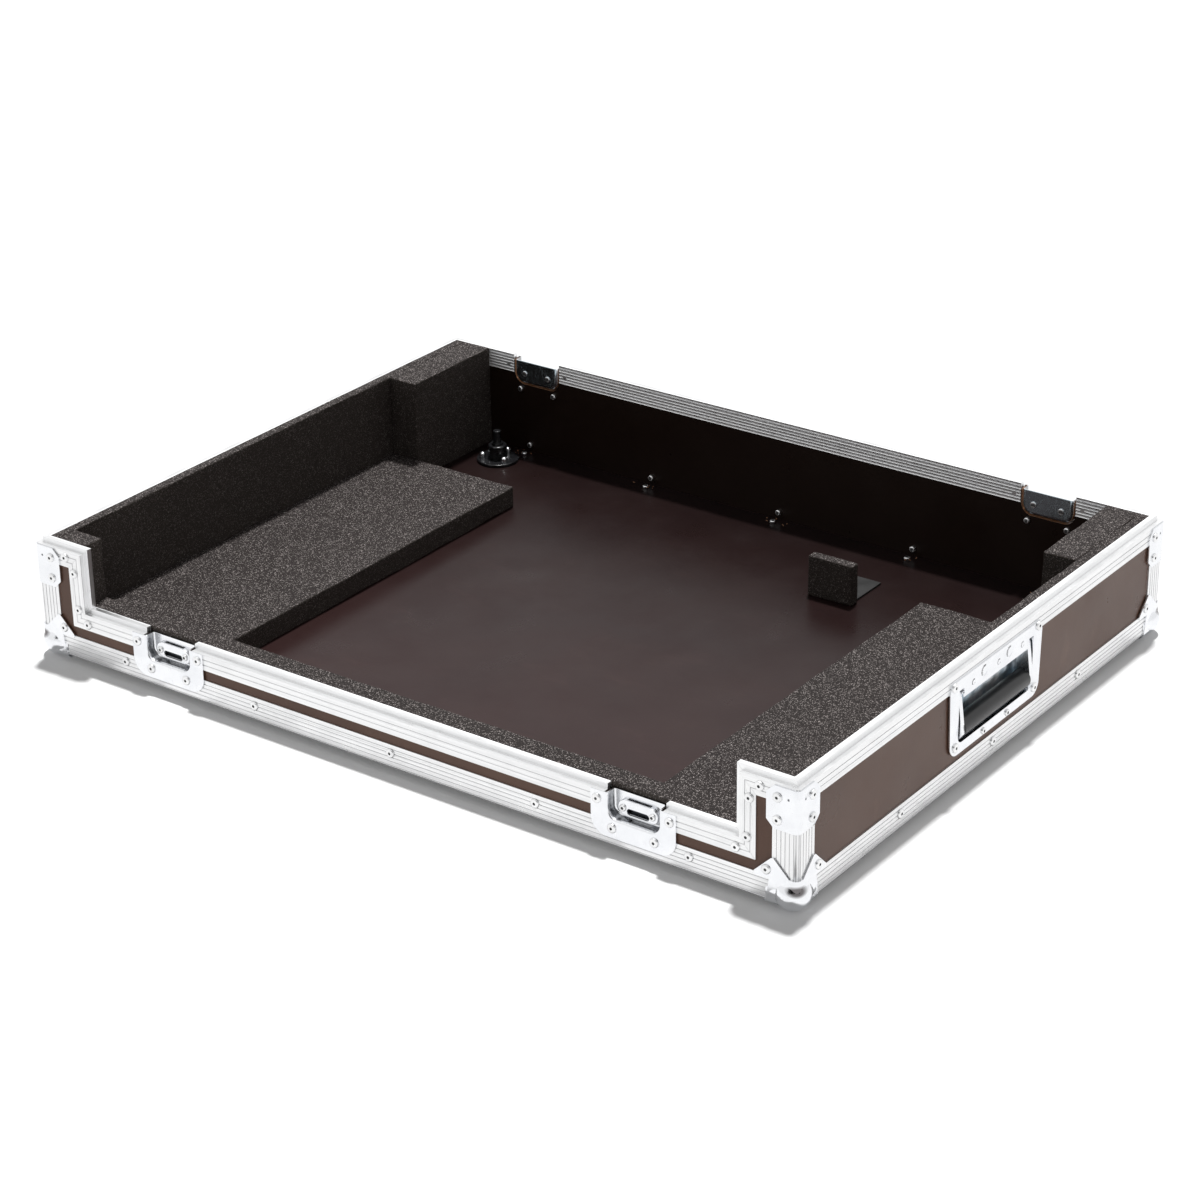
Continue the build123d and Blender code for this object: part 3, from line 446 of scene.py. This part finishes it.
# Painted reflection: the pan is painted near white and made less metallic to stand for the bright
# light it reflects.
HANDLE_PAN_FACE = 0.3745
HANDLE_PAN_PAINTED_LIGHT = (0.95, 0.97, 0.99)
HANDLE_PAN_BLUE = (0.42, 0.53, 0.60)
HANDLE_PAN_ROUGHNESS = (0.32,) * 3
PAN_SLOPE = 300.0
PRESSED_DEPTH = 0.0012
PRESSED_SPOTS = ((-0.0195, 0.0895, 0.0042), (0.0195, 0.0895, 0.0042), (-0.036, 0.0865, 0.0022),
                 (0.003, 0.0875, 0.0022), (0.040, 0.087, 0.0022), (-0.051, 0.084, 0.0012),
                 (0.052, 0.084, 0.0012))
COIL_LONG = 0.016
COIL_WIRE = 0.00055
COIL_TURNS = 8
COIL_SIDES = 10
COIL_STEPS = 24


def black_finish(name, colour, roughness, grain):
    """Black plastic or paint: fine grain, rubbed a little."""
    made, tree, shader, spot = finish_of(name, colour, roughness)
    clouds = noise(tree, spot, 60.0, 4.0)
    lighter = tuple(channel * 2.2 for channel in colour)
    tree.links.new(mixed(tree, ramp(tree, clouds, ((0.4, 0.0), (0.8, 0.8))), colour, lighter),
                   shader.inputs["Base Color"])
    tree.links.new(mixed(tree, clouds, (roughness - 0.06,) * 3, (roughness + 0.1,) * 3),
                   shader.inputs["Roughness"])
    bumped(tree, shader, noise(tree, spot, grain, 2.0), 0.00015, 0.3)
    return made


def mesh_piece(name, points, faces, material, smooth=True):
    """A new object at the origin from point and face arrays."""
    mesh = bpy.data.meshes.new(name)
    mesh.from_pydata(points.tolist(), [], faces.tolist())
    mesh.polygons.foreach_set("use_smooth", np.full(len(mesh.polygons), smooth))
    mesh.materials.append(material)
    mesh.update()
    piece = bpy.data.objects.new(name, mesh)
    bpy.context.scene.collection.objects.link(piece)
    return piece


def dish_finish():
    """Zinc, duller in the pan, which is painted near white and made less metallic as a painted
    reflection of bright light, in clouds with blue; round dimples pressed into the top flange: at
    each spot the height falls off smoothly round its radius, by distance from the spot in Y and Z.
    The back of the pan leans by a slope, as height that falls evenly with z, and is a little wavy."""
    made = zinc_finish("bright_zinc_handle_dish", 0.17)
    tree = made.node_tree
    shader = tree.nodes["Principled BSDF"]
    spot = add(tree, "TexCoord").outputs["Object"]
    split = add(tree, "SeparateXYZ", {"Vector": spot})
    pan = math(tree, "LESS_THAN", math(tree, "ABSOLUTE", split.outputs["X"]), HANDLE_PAN_FACE)
    # Painted reflection: pale and blue clouds in the pan, with less metal.
    clouds = ramp(tree, noise(tree, spot, 70.0, 3.0),
                  ((0.35, HANDLE_PAN_PAINTED_LIGHT), (0.62, HANDLE_PAN_BLUE)))
    painted_over(tree, pan, clouds)
    gloss = shader.inputs["Roughness"].links[0].from_socket
    tree.links.new(mixed(tree, pan, gloss, HANDLE_PAN_ROUGHNESS), shader.inputs["Roughness"])
    tree.links.new(math(tree, "MULTIPLY_ADD", pan, -0.3, 1.0), shader.inputs["Metallic"])
    flat = add(tree, "VectorMath", {0: spot, 1: (0.0, 1.0, 1.0)}, operation="MULTIPLY").outputs[0]
    height = 0.0
    for across, up, radius in PRESSED_SPOTS:
        gap = add(tree, "VectorMath", {0: flat, 1: (0.0, across, up)}, operation="DISTANCE")
        dent = add(tree, "MapRange",
                   {"Value": gap.outputs["Value"], "From Min": radius * 0.7,
                    "From Max": radius * 1.3, "To Min": 1.0, "To Max": 0.0},
                   interpolation_type="SMOOTHSTEP")
        height = math(tree, "ADD", dent.outputs["Result"], height)
    waves = math(tree, "MULTIPLY", noise(tree, spot, 48.0, 1.0), 3.0)
    waves = math(tree, "MULTIPLY_ADD", split.outputs["Z"], -PAN_SLOPE, waves)
    relief = math(tree, "SUBTRACT", math(tree, "MULTIPLY", waves, pan), height)
    bumped(tree, shader, relief, PRESSED_DEPTH)
    return made


def coil_points(low, high, wire, turns):
    """Coil along Y in a box from low to high: the wire's middle runs round at the box's radius less
    the wire's, once per turn, from end to end; a ring of points stands square round it."""
    low, high = np.array(low), np.array(high)
    middle, reach = (low + high) / 2, (high[0] - low[0]) / 2 - wire
    count = turns * COIL_STEPS + 1
    turn = np.linspace(0.0, 2 * np.pi * turns, count)
    along = np.linspace(low[1] + wire, high[1] - wire, count)
    out = np.stack((np.cos(turn), np.zeros(count), np.sin(turn)), -1)
    spine = np.stack((np.full(count, middle[0]), along, np.full(count, middle[2])), -1)
    spine = spine + out * reach
    ring = np.linspace(0.0, 2 * np.pi, COIL_SIDES, endpoint=False)
    side = np.array((0.0, 1.0, 0.0))
    points = (spine[:, None] + wire * (np.cos(ring)[None, :, None] * out[:, None]
                                       + np.sin(ring)[None, :, None] * side[None, None]))
    first = np.arange((count - 1) * COIL_SIDES).reshape(count - 1, COIL_SIDES)
    second = np.roll(first, -1, axis=1)
    quads = np.stack((first, second, second + COIL_SIDES, first + COIL_SIDES), -1)
    return points.reshape(-1, 3), quads.reshape(-1, 4)


def coil_pair(end, material):
    """Two coiled springs on the pin of one handle, in place of its two sleeves."""
    node = "handle_springs_" + end
    low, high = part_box(node)
    spans = ((low[1], low[1] + COIL_LONG), (high[1] - COIL_LONG, high[1]))
    made = []
    for index, (start, stop) in enumerate(spans):
        points, quads = coil_points((low[0], start, low[2]), (high[0], stop, high[2]),
                                    COIL_WIRE, COIL_TURNS)
        piece = mesh_piece(node + "_coil_" + str(index + 1), points, quads, material)
        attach(piece, "tray")
        made.append(piece)
    for piece in made:
        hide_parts(node)


grip_black = black_finish("grip_plastic_black", GRIP_BLACK, 0.32, 1400.0)
dish_zinc = dish_finish()
for end in ("left", "right"):
    softened("handle_dish_" + end, dish_zinc, 0.0003, 2, flattened=True)
    softened("handle_bail_" + end, zinc, 0.0006, 3)
    softened("handle_pin_" + end, zinc, 0.0003, 2)
    coil_pair(end, zinc)
    softened("handle_grip_" + end, grip_black, 0.0003, 2)


# Foam lining
# Black polyethylene foam cut from sheet and glued in: liners down both ends, thick blocks at
# the corners, a strip behind the low front, two pads and a stop block. The cut cells show as
# pale specks, and no cut face is quite flat.

# Upright faces take the side and middle colours, painted lighter than the top and dark of level
# faces, as painted light.
FOAM_DARK = (0.012, 0.0095, 0.0088)
FOAM_SIDE_PAINTED_LIGHT = (0.026, 0.021, 0.0185)
FOAM_MIDDLE_PAINTED_LIGHT = (0.064, 0.053, 0.046)
FOAM_TOP = (0.034, 0.027, 0.0255)
FOAM_SPECK = (0.40, 0.36, 0.345)
FOAM_CELLS = 1600.0
FOAM_GRAIN = 900.0
CELL_DEPTH = 0.0004
BLOCK_ROUNDING = 0.0012
BLOCK_STEP = 0.006
UNEVEN_DEPTH = 0.0003
UNEVEN_WAVE = 0.05
RIM_LIP = (0.367, 0.2725, 0.0904)
HANDLE_ROOM = (0.3596, 0.066, 0.033, 0.096)
LATCH_ROOM = (0.2326, 0.031, -0.2703, 0.022, 0.0515)
FOAM_NODES = ("side_liner_left", "side_liner_right", "front_block_left", "front_block_right",
              "rear_block_left", "rear_block_right", "floor_pad_left", "floor_pad_right",
              "front_strip", "stop_block")


def foam_finish(name):
    """Closed-cell foam: dark ground with open cells, pale walls of cut cells, and upright faces
    painted lighter than level ones, as painted light."""
    made, tree, shader, spot = finish_of(name, FOAM_DARK, 0.75)
    cells = add(tree, "TexVoronoi", {"Vector": spot, "Scale": FOAM_CELLS, "Randomness": 1.0},
                feature="F1")
    grain = noise(tree, spot, FOAM_GRAIN, 3.0, 0.7)
    tint = add(tree, "SeparateColor", {"Color": cells.outputs["Color"]}).outputs[0]
    facing = add(tree, "SeparateXYZ", {"Vector": add(tree, "NewGeometry").outputs["Normal"]})
    level = ramp(tree, facing.outputs["Z"], ((0.55, 0.0), (0.9, 1.0)))
    pale = ramp(tree, tint, ((0.85, 0.0), (0.97, 1.0)))
    pale = math(tree, "MULTIPLY", pale, math(tree, "MULTIPLY_ADD", level, 0.45, 0.45))
    # Painted light: upright faces lighter than level ones.
    light = mixed(tree, level, FOAM_MIDDLE_PAINTED_LIGHT, FOAM_TOP)
    deep = mixed(tree, level, FOAM_SIDE_PAINTED_LIGHT, FOAM_DARK)
    ground = mixed(tree, ramp(tree, grain, ((0.35, 0.0), (0.7, 1.0))), deep, light)
    tree.links.new(mixed(tree, pale, ground, FOAM_SPECK), shader.inputs["Base Color"])
    shader.inputs["Specular IOR Level"].default_value = 0.16
    bumped(tree, shader, cells.outputs["Distance"], CELL_DEPTH, 0.5)
    return made


def block_mesh(low, high, rounding, step):
    """Rounded block from grid points on the six faces of a box: each point takes the nearest point
    of the box shrunk by the rounding, and is set as far as the rounding from that nearest point,
    on the line from it to where the point was."""
    low, high = np.array(low), np.array(high)
    lines = []
    for start, end in zip(low, high):
        count = max(2, int(round((end - start - 2 * rounding) / step)) + 1)
        middle = np.linspace(start + rounding, end - rounding, count)
        lines.append(np.concatenate(([start, start + rounding * 0.4], middle,
                                     [end - rounding * 0.4, end])))
    points, quads, offset = [], [], 0
    for axis in range(3):
        first, second = (axis + 1) % 3, (axis + 2) % 3
        for place, flip in ((low[axis], True), (high[axis], False)):
            u, v = np.meshgrid(lines[first], lines[second], indexing="ij")
            grid = np.empty(u.shape + (3,))
            grid[..., axis], grid[..., first], grid[..., second] = place, u, v
            index = np.arange(u.size).reshape(u.shape) + offset
            quad = np.stack((index[:-1, :-1], index[1:, :-1], index[1:, 1:], index[:-1, 1:]), -1)
            quads.append(quad.reshape(-1, 4)[:, ::-1] if flip else quad.reshape(-1, 4))
            points.append(grid.reshape(-1, 3))
            offset += u.size
    points, quads = np.concatenate(points), np.concatenate(quads)
    unique, inverse = np.unique(np.round(points, 7), axis=0, return_inverse=True)
    core = np.clip(unique, low + rounding, high - rounding)
    away = unique - core
    length = np.linalg.norm(away, axis=1, keepdims=True)
    unique = core + np.where(length > 0, away * rounding / np.maximum(length, 1e-12), 0.0)
    return unique, inverse.reshape(-1)[quads]


def uneven(points, depth, wave, seed):
    """Points moved by a sum of five sine waves of random direction, about a wave long."""
    rng = np.random.default_rng(seed)
    moved = np.zeros_like(points)
    for _ in range(5):
        direction = rng.normal(size=3)
        direction *= 2 * np.pi / wave / np.linalg.norm(direction) * rng.uniform(0.6, 1.6)
        moved += rng.normal(size=3) * np.sin(points @ direction + rng.uniform(0, 6.28))[:, None]
    return points + moved * depth / 2.2


def kept_clear(points):
    """Foam points moved off the metal: above the rim's inner lip |x| and |y| stay inside it; behind
    a handle |x| stays short of its pan; behind a front latch y stays back of its dish."""
    across, through, up = np.abs(points[:, 0]), np.abs(points[:, 1]), points[:, 2]
    side = np.sign(points[:, 0])
    lip = up > RIM_LIP[2]
    across = np.where(lip, np.minimum(across, RIM_LIP[0]), across)
    deep = np.where(lip, np.clip(points[:, 1], -RIM_LIP[1], RIM_LIP[1]), points[:, 1])
    handle = (through < HANDLE_ROOM[1]) & (up > HANDLE_ROOM[2]) & (up < HANDLE_ROOM[3])
    across = np.where(handle, np.minimum(across, HANDLE_ROOM[0]), across)
    latch = np.abs(across - LATCH_ROOM[0]) < LATCH_ROOM[1]
    latch = latch & (up > LATCH_ROOM[3]) & (up < LATCH_ROOM[4])
    deep = np.where(latch, np.maximum(deep, LATCH_ROOM[2]), deep)
    return np.stack((side * across, deep, up), -1)


def foam_piece(node, seed):
    """A cut block in place of a foam solid, inside that solid's box."""
    low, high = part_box(node)
    points, quads = block_mesh(low, high, BLOCK_ROUNDING, BLOCK_STEP)
    points = uneven(points, UNEVEN_DEPTH, UNEVEN_WAVE, seed)
    points = np.clip(points, np.array(low), np.array(high))
    piece = mesh_piece("foam_" + node, kept_clear(points), quads, foam)
    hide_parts(node)
    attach(piece, "tray")


foam = foam_finish("polyethylene_foam")
for seed, node in enumerate(FOAM_NODES):
    foam_piece(node, seed)


# Splinters
# Copper brown splinters of ply, thrown up where the rear floor rivets were drilled through and
# left lying in the corner between the floor and the rear wall.

SPLINTER_SEED = 5
SPLINTERS_EACH = 7
SPLINTER_PLACES = (-0.282, -0.141, 0.0, 0.141, 0.282)
SPLINTER_LINE = (0.266, 0.0130)
SPLINTER_SPREAD = (0.007, 0.0035, 0.0)
SPLINTER_LENGTHS = (0.0015, 0.0045)
SPLINTER_WIDE = 0.00045
SPLINTER_HIGH = 0.0004


def splinters():
    """Thin wedges lying round five places: each is a four-sided sliver from one point to another,
    a random few millimetres away, tapered to its ends."""
    rng = np.random.default_rng(SPLINTER_SEED)
    points, faces = [], []
    for x in SPLINTER_PLACES:
        for _ in range(SPLINTERS_EACH):
            start = np.array((x, *SPLINTER_LINE)) + rng.normal(size=3) * SPLINTER_SPREAD
            turn, long = rng.uniform(0, 2 * np.pi), rng.uniform(*SPLINTER_LENGTHS)
            reach = np.array((np.cos(turn), np.sin(turn) * 0.6, rng.uniform(0.0, 0.5))) * long
            wide = np.cross(reach, (0.0, 0.0, 1.0))
            wide *= SPLINTER_WIDE / np.linalg.norm(wide)
            middle = start + reach / 2
            high = np.array((0.0, 0.0, SPLINTER_HIGH))
            base = len(points)
            points += [start, middle + wide, start + reach, middle - wide, middle + high,
                       middle - high]
            for first, second in ((0, 1), (1, 2), (2, 3), (3, 0)):
                faces += [(base + second, base + first, base + 5),
                          (base + first, base + second, base + 4)]
    made, tree, shader, spot = finish_of("raw_ply_splinters", RAW_EDGE, 0.7)
    tree.links.new(ramp(tree, noise(tree, spot, 800.0), ((0.35, RAW_EDGE), (0.65, RAW_DARK))),
                   shader.inputs["Base Color"])
    piece = mesh_piece("floor_splinters", np.array(points), np.array(faces), made, smooth=False)
    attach(piece, "tray")


splinters()


# Stop bracket and floor fitting
# A bent plate of black painted steel behind the stop block, and a round black plastic fitting
# on the floor with three bright domed nuts.

BRACKET_BLACK = (0.012, 0.012, 0.012)
FITTING_BLACK = (0.008, 0.008, 0.009)

bracket_black = black_finish("painted_steel_black", BRACKET_BLACK, 0.42, 900.0)
fitting_black = black_finish("fitting_plastic_black", FITTING_BLACK, 0.22, 700.0)
softened("stop_bracket", bracket_black, 0.0003, 2)
softened("floor_fitting_flange", fitting_black, 0.0003, 2)
softened("floor_fitting_neck", fitting_black, 0.0003, 2)
softened("floor_fitting_nuts", zinc, 0.0002, 2)


# Rivets
# Aluminium blind rivets with domed heads and the steel stub of the mandrel left in the middle.
# Each kind of place has its own piece: edges, floor, corners, latches and handles.

MANDREL_REACH = 0.00135
# The mandrel's grey is partly its steel and partly painted shade in the hollow in the middle of the
# rivet's head.
MANDREL_STEEL_AND_SHADE = (0.10, 0.10, 0.105)
MANDREL_PATCHES_AND_SHADE = ((0.03, 0.03, 0.03), (0.22, 0.22, 0.22))
PLUG_PLACES = (-0.3048, -0.2392, 0.2392, 0.3048)
PLUG_FACE = 0.27268
PLUG_LEVEL = 0.0966
PLUG_RADIUS = 0.00203
PLUG_SIDES = 24


def islands_of(points, corners):
    """A number for each triangle, the same all over one loose part: each point starts with its
    own number, and the smallest number in each triangle spreads until nothing changes."""
    keys, label = np.unique(np.round(points, 6), axis=0, return_inverse=True)
    corners = label.reshape(-1)[corners]
    number = np.arange(len(keys))
    while True:
        least = number[corners].min(axis=1)
        spread = number.copy()
        for column in range(3):
            np.minimum.at(spread, corners[:, column], least)
        if np.array_equal(spread, number):
            return number[corners[:, 0]]
        number = spread


def mark_mandrels(mesh):
    """The second finish goes on every face nearer its rivet's axis than the reach; the axis runs
    along the longest side of the rivet's own box, through the box's middle."""
    points = np.empty(len(mesh.vertices) * 3)
    mesh.vertices.foreach_get("co", points)
    points = points.reshape(-1, 3)
    corners = np.empty(len(mesh.loops), dtype=np.int64)
    mesh.loops.foreach_get("vertex_index", corners)
    corners = corners.reshape(-1, 3)
    part = islands_of(points, corners)
    middle = points[corners].mean(axis=1)
    marked = np.zeros(len(corners), dtype=np.int32)
    for one in np.unique(part):
        chosen = part == one
        around = points[corners[chosen]].reshape(-1, 3)
        low, high = around.min(axis=0), around.max(axis=0)
        off = middle[chosen] - (low + high) / 2
        off[:, np.argmax(high - low)] = 0.0
        marked[chosen] = np.linalg.norm(off, axis=1) < MANDREL_REACH
    mesh.polygons.foreach_set("material_index", marked)


def mandrel_finish():
    """Broken steel of a mandrel, painted dark grey both as its steel and as painted shade in the
    rivet's hollow: darker and paler in fine patches.
    """
    made, tree, shader, spot = finish_of("mandrel_steel_and_painted_shade", MANDREL_STEEL_AND_SHADE, 0.5, 0.6)
    tree.links.new(mixed(tree, noise(tree, spot, 400.0), *MANDREL_PATCHES_AND_SHADE),
                   shader.inputs["Base Color"])
    return made


def lip_plugs():
    """Flat discs that close four holes in the rim's inner lip: in the solids the upper rear latch
    rivets end short of that lip and leave its holes open. Each disc is a fan round its middle."""
    turn = np.linspace(0.0, 2 * np.pi, PLUG_SIDES, endpoint=False)
    rim = np.stack((np.cos(turn), np.zeros(PLUG_SIDES), np.sin(turn)), -1) * PLUG_RADIUS
    step = np.arange(PLUG_SIDES)
    fan = np.stack((np.zeros(PLUG_SIDES, int), 1 + step, 1 + (step + 1) % PLUG_SIDES), -1)
    points, faces = [], []
    for index, x in enumerate(PLUG_PLACES):
        middle = np.array((x, PLUG_FACE, PLUG_LEVEL))
        points.append(np.vstack((middle, rim + middle)))
        faces.append(fan + index * (PLUG_SIDES + 1))
    piece = mesh_piece("rim_rear_rivet_ends", np.vstack(points), np.vstack(faces), rivet_metal,
                       smooth=False)
    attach(piece, "tray")


rivet_metal = aluminium_finish("rivet_aluminium", (1.0, 1.0, 1.0), painted_groove_shade=False)
mandrel_metal = mandrel_finish()
lip_plugs()
for name in ("edge_rivets", "floor_rivets", "corner_rivets", "latch_rivets", "handle_rivets"):
    piece = softened(name, rivet_metal, 0.0001, 1)
    piece.data.materials.append(mandrel_metal)
    mark_mandrels(piece.data)


# Floor, light and camera
# White studio floor under even pale surroundings and one far lamp from above and behind, seen
# from the front right corner. A dark card behind the camera shows only in the bright metal.

WHITE = (1.0, 1.0, 1.0, 1.0)
FLOOR_HALF = 20.0
FLOOR_WHITE = (0.80, 0.80, 0.80)
FLOOR_GLOW = 0.07
SURROUND_LIGHT = 0.27
KEY_TOWARD = (-0.10, 0.24, 1.0)
KEY_STRENGTH = 3.5
KEY_SPREAD = 4.0
KEY_PLACE = 4.0
CARD_BLACK = (0.02, 0.02, 0.022)
CARD_PLACE = 3.4
CARD_SPAN = (0.9, 3.2, 2.2)
CAMERA_TURN = (36.29445, 25.65096, -0.90606)
CAMERA_AIM = (-0.0443, 0.05786, 0.0046)
CAMERA_AWAY = 2.740789
CAMERA_LENS = 94.883
CAMERA_SENSOR = 36.0


def seen_directly(tree):
    """1 for rays from the camera, in mirrors and through glass, else 0."""
    path = add(tree, "LightPath")
    seen = math(tree, "MAXIMUM", path.outputs["Is Camera Ray"], path.outputs["Is Glossy Ray"])
    return math(tree, "MAXIMUM", seen, path.outputs["Is Transmission Ray"])


def stage_floor():
    """A wide white sheet, brightened for the camera so that it meets white, with its shadow."""
    corners = np.array([(x, y, 0.0) for x, y in ((-1, -1), (1, -1), (1, 1), (-1, 1))]) * FLOOR_HALF
    made, tree, shader, _ = finish_of("studio_white", FLOOR_WHITE, 0.9)
    shader.inputs["Specular IOR Level"].default_value = 0.0
    glow = math(tree, "MULTIPLY", seen_directly(tree), FLOOR_GLOW)
    tree.links.new(glow, shader.inputs["Emission Strength"])
    shader.inputs["Emission Color"].default_value = WHITE
    mesh_piece("studio_floor", corners, np.array([[0, 1, 2, 3]]), made, smooth=False)


def studio_world():
    """Even pale surroundings: white where seen or mirrored, dimmer as a light."""
    world = bpy.data.worlds.new("studio_surroundings")
    bpy.context.scene.world = world
    world.use_nodes = True
    tree = world.node_tree
    background = tree.nodes["Background"]
    background.inputs["Color"].default_value = WHITE
    strength = add(tree, "MapRange", {"Value": seen_directly(tree), "To Min": SURROUND_LIGHT,
                                      "To Max": 1.0})
    tree.links.new(strength.outputs["Result"], background.inputs["Strength"])


def key_light(toward, strength, spread):
    """A far lamp that shines down from a direction, its apparent width in degrees."""
    light = bpy.data.lights.new("key_light", "SUN")
    light.energy = strength
    light.angle = np.radians(spread)
    holder = bpy.data.objects.new("key_light", light)
    holder.location = Vector(toward).normalized() * KEY_PLACE
    holder.rotation_mode = "QUATERNION"
    holder.rotation_quaternion = Vector(toward).to_track_quat("Z", "Y")
    bpy.context.scene.collection.objects.link(holder)


def dark_card(away, across, foot, top, half):
    """The dark room behind the camera, which only shows as a reflection in the bright metal: an
    upright sheet at a place, from foot to top and half as wide each way."""
    corners = [(away[0] + across[0] * u * half, away[1] + across[1] * u * half, z)
               for u, z in ((-1, foot), (1, foot), (1, top), (-1, top))]
    made = finish_of("studio_dark", CARD_BLACK, 0.9)[0]
    card = mesh_piece("studio_dark_card", np.array(corners), np.array([[0, 1, 2, 3]]), made,
                      smooth=False)
    card.visible_camera = False
    card.visible_diffuse = False
    card.visible_shadow = False


stage_floor()
studio_world()
key_light(KEY_TOWARD, KEY_STRENGTH, KEY_SPREAD)

azimuth, elevation, roll = np.radians(CAMERA_TURN)
aim = Vector(CAMERA_AIM)
away = Vector((np.sin(azimuth) * np.cos(elevation), -np.cos(azimuth) * np.cos(elevation),
               np.sin(elevation)))
side = (-away).cross(Vector((0.0, 0.0, 1.0))).normalized()
over = side.cross(-away)
right = side * np.cos(roll) + over * np.sin(roll)
up = over * np.cos(roll) - side * np.sin(roll)
dark_card(away * CARD_PLACE, side, *CARD_SPAN)
camera = bpy.data.objects.new("camera", bpy.data.cameras.new("camera"))
camera.data.sensor_width = CAMERA_SENSOR
camera.data.lens = CAMERA_LENS
turned = Matrix((right, up, away)).transposed().to_4x4()
camera.matrix_world = Matrix.Translation(aim + away * CAMERA_AWAY) @ turned
bpy.context.scene.collection.objects.link(camera)
bpy.context.scene.camera = camera
bpy.context.scene.view_settings.view_transform = "Standard"
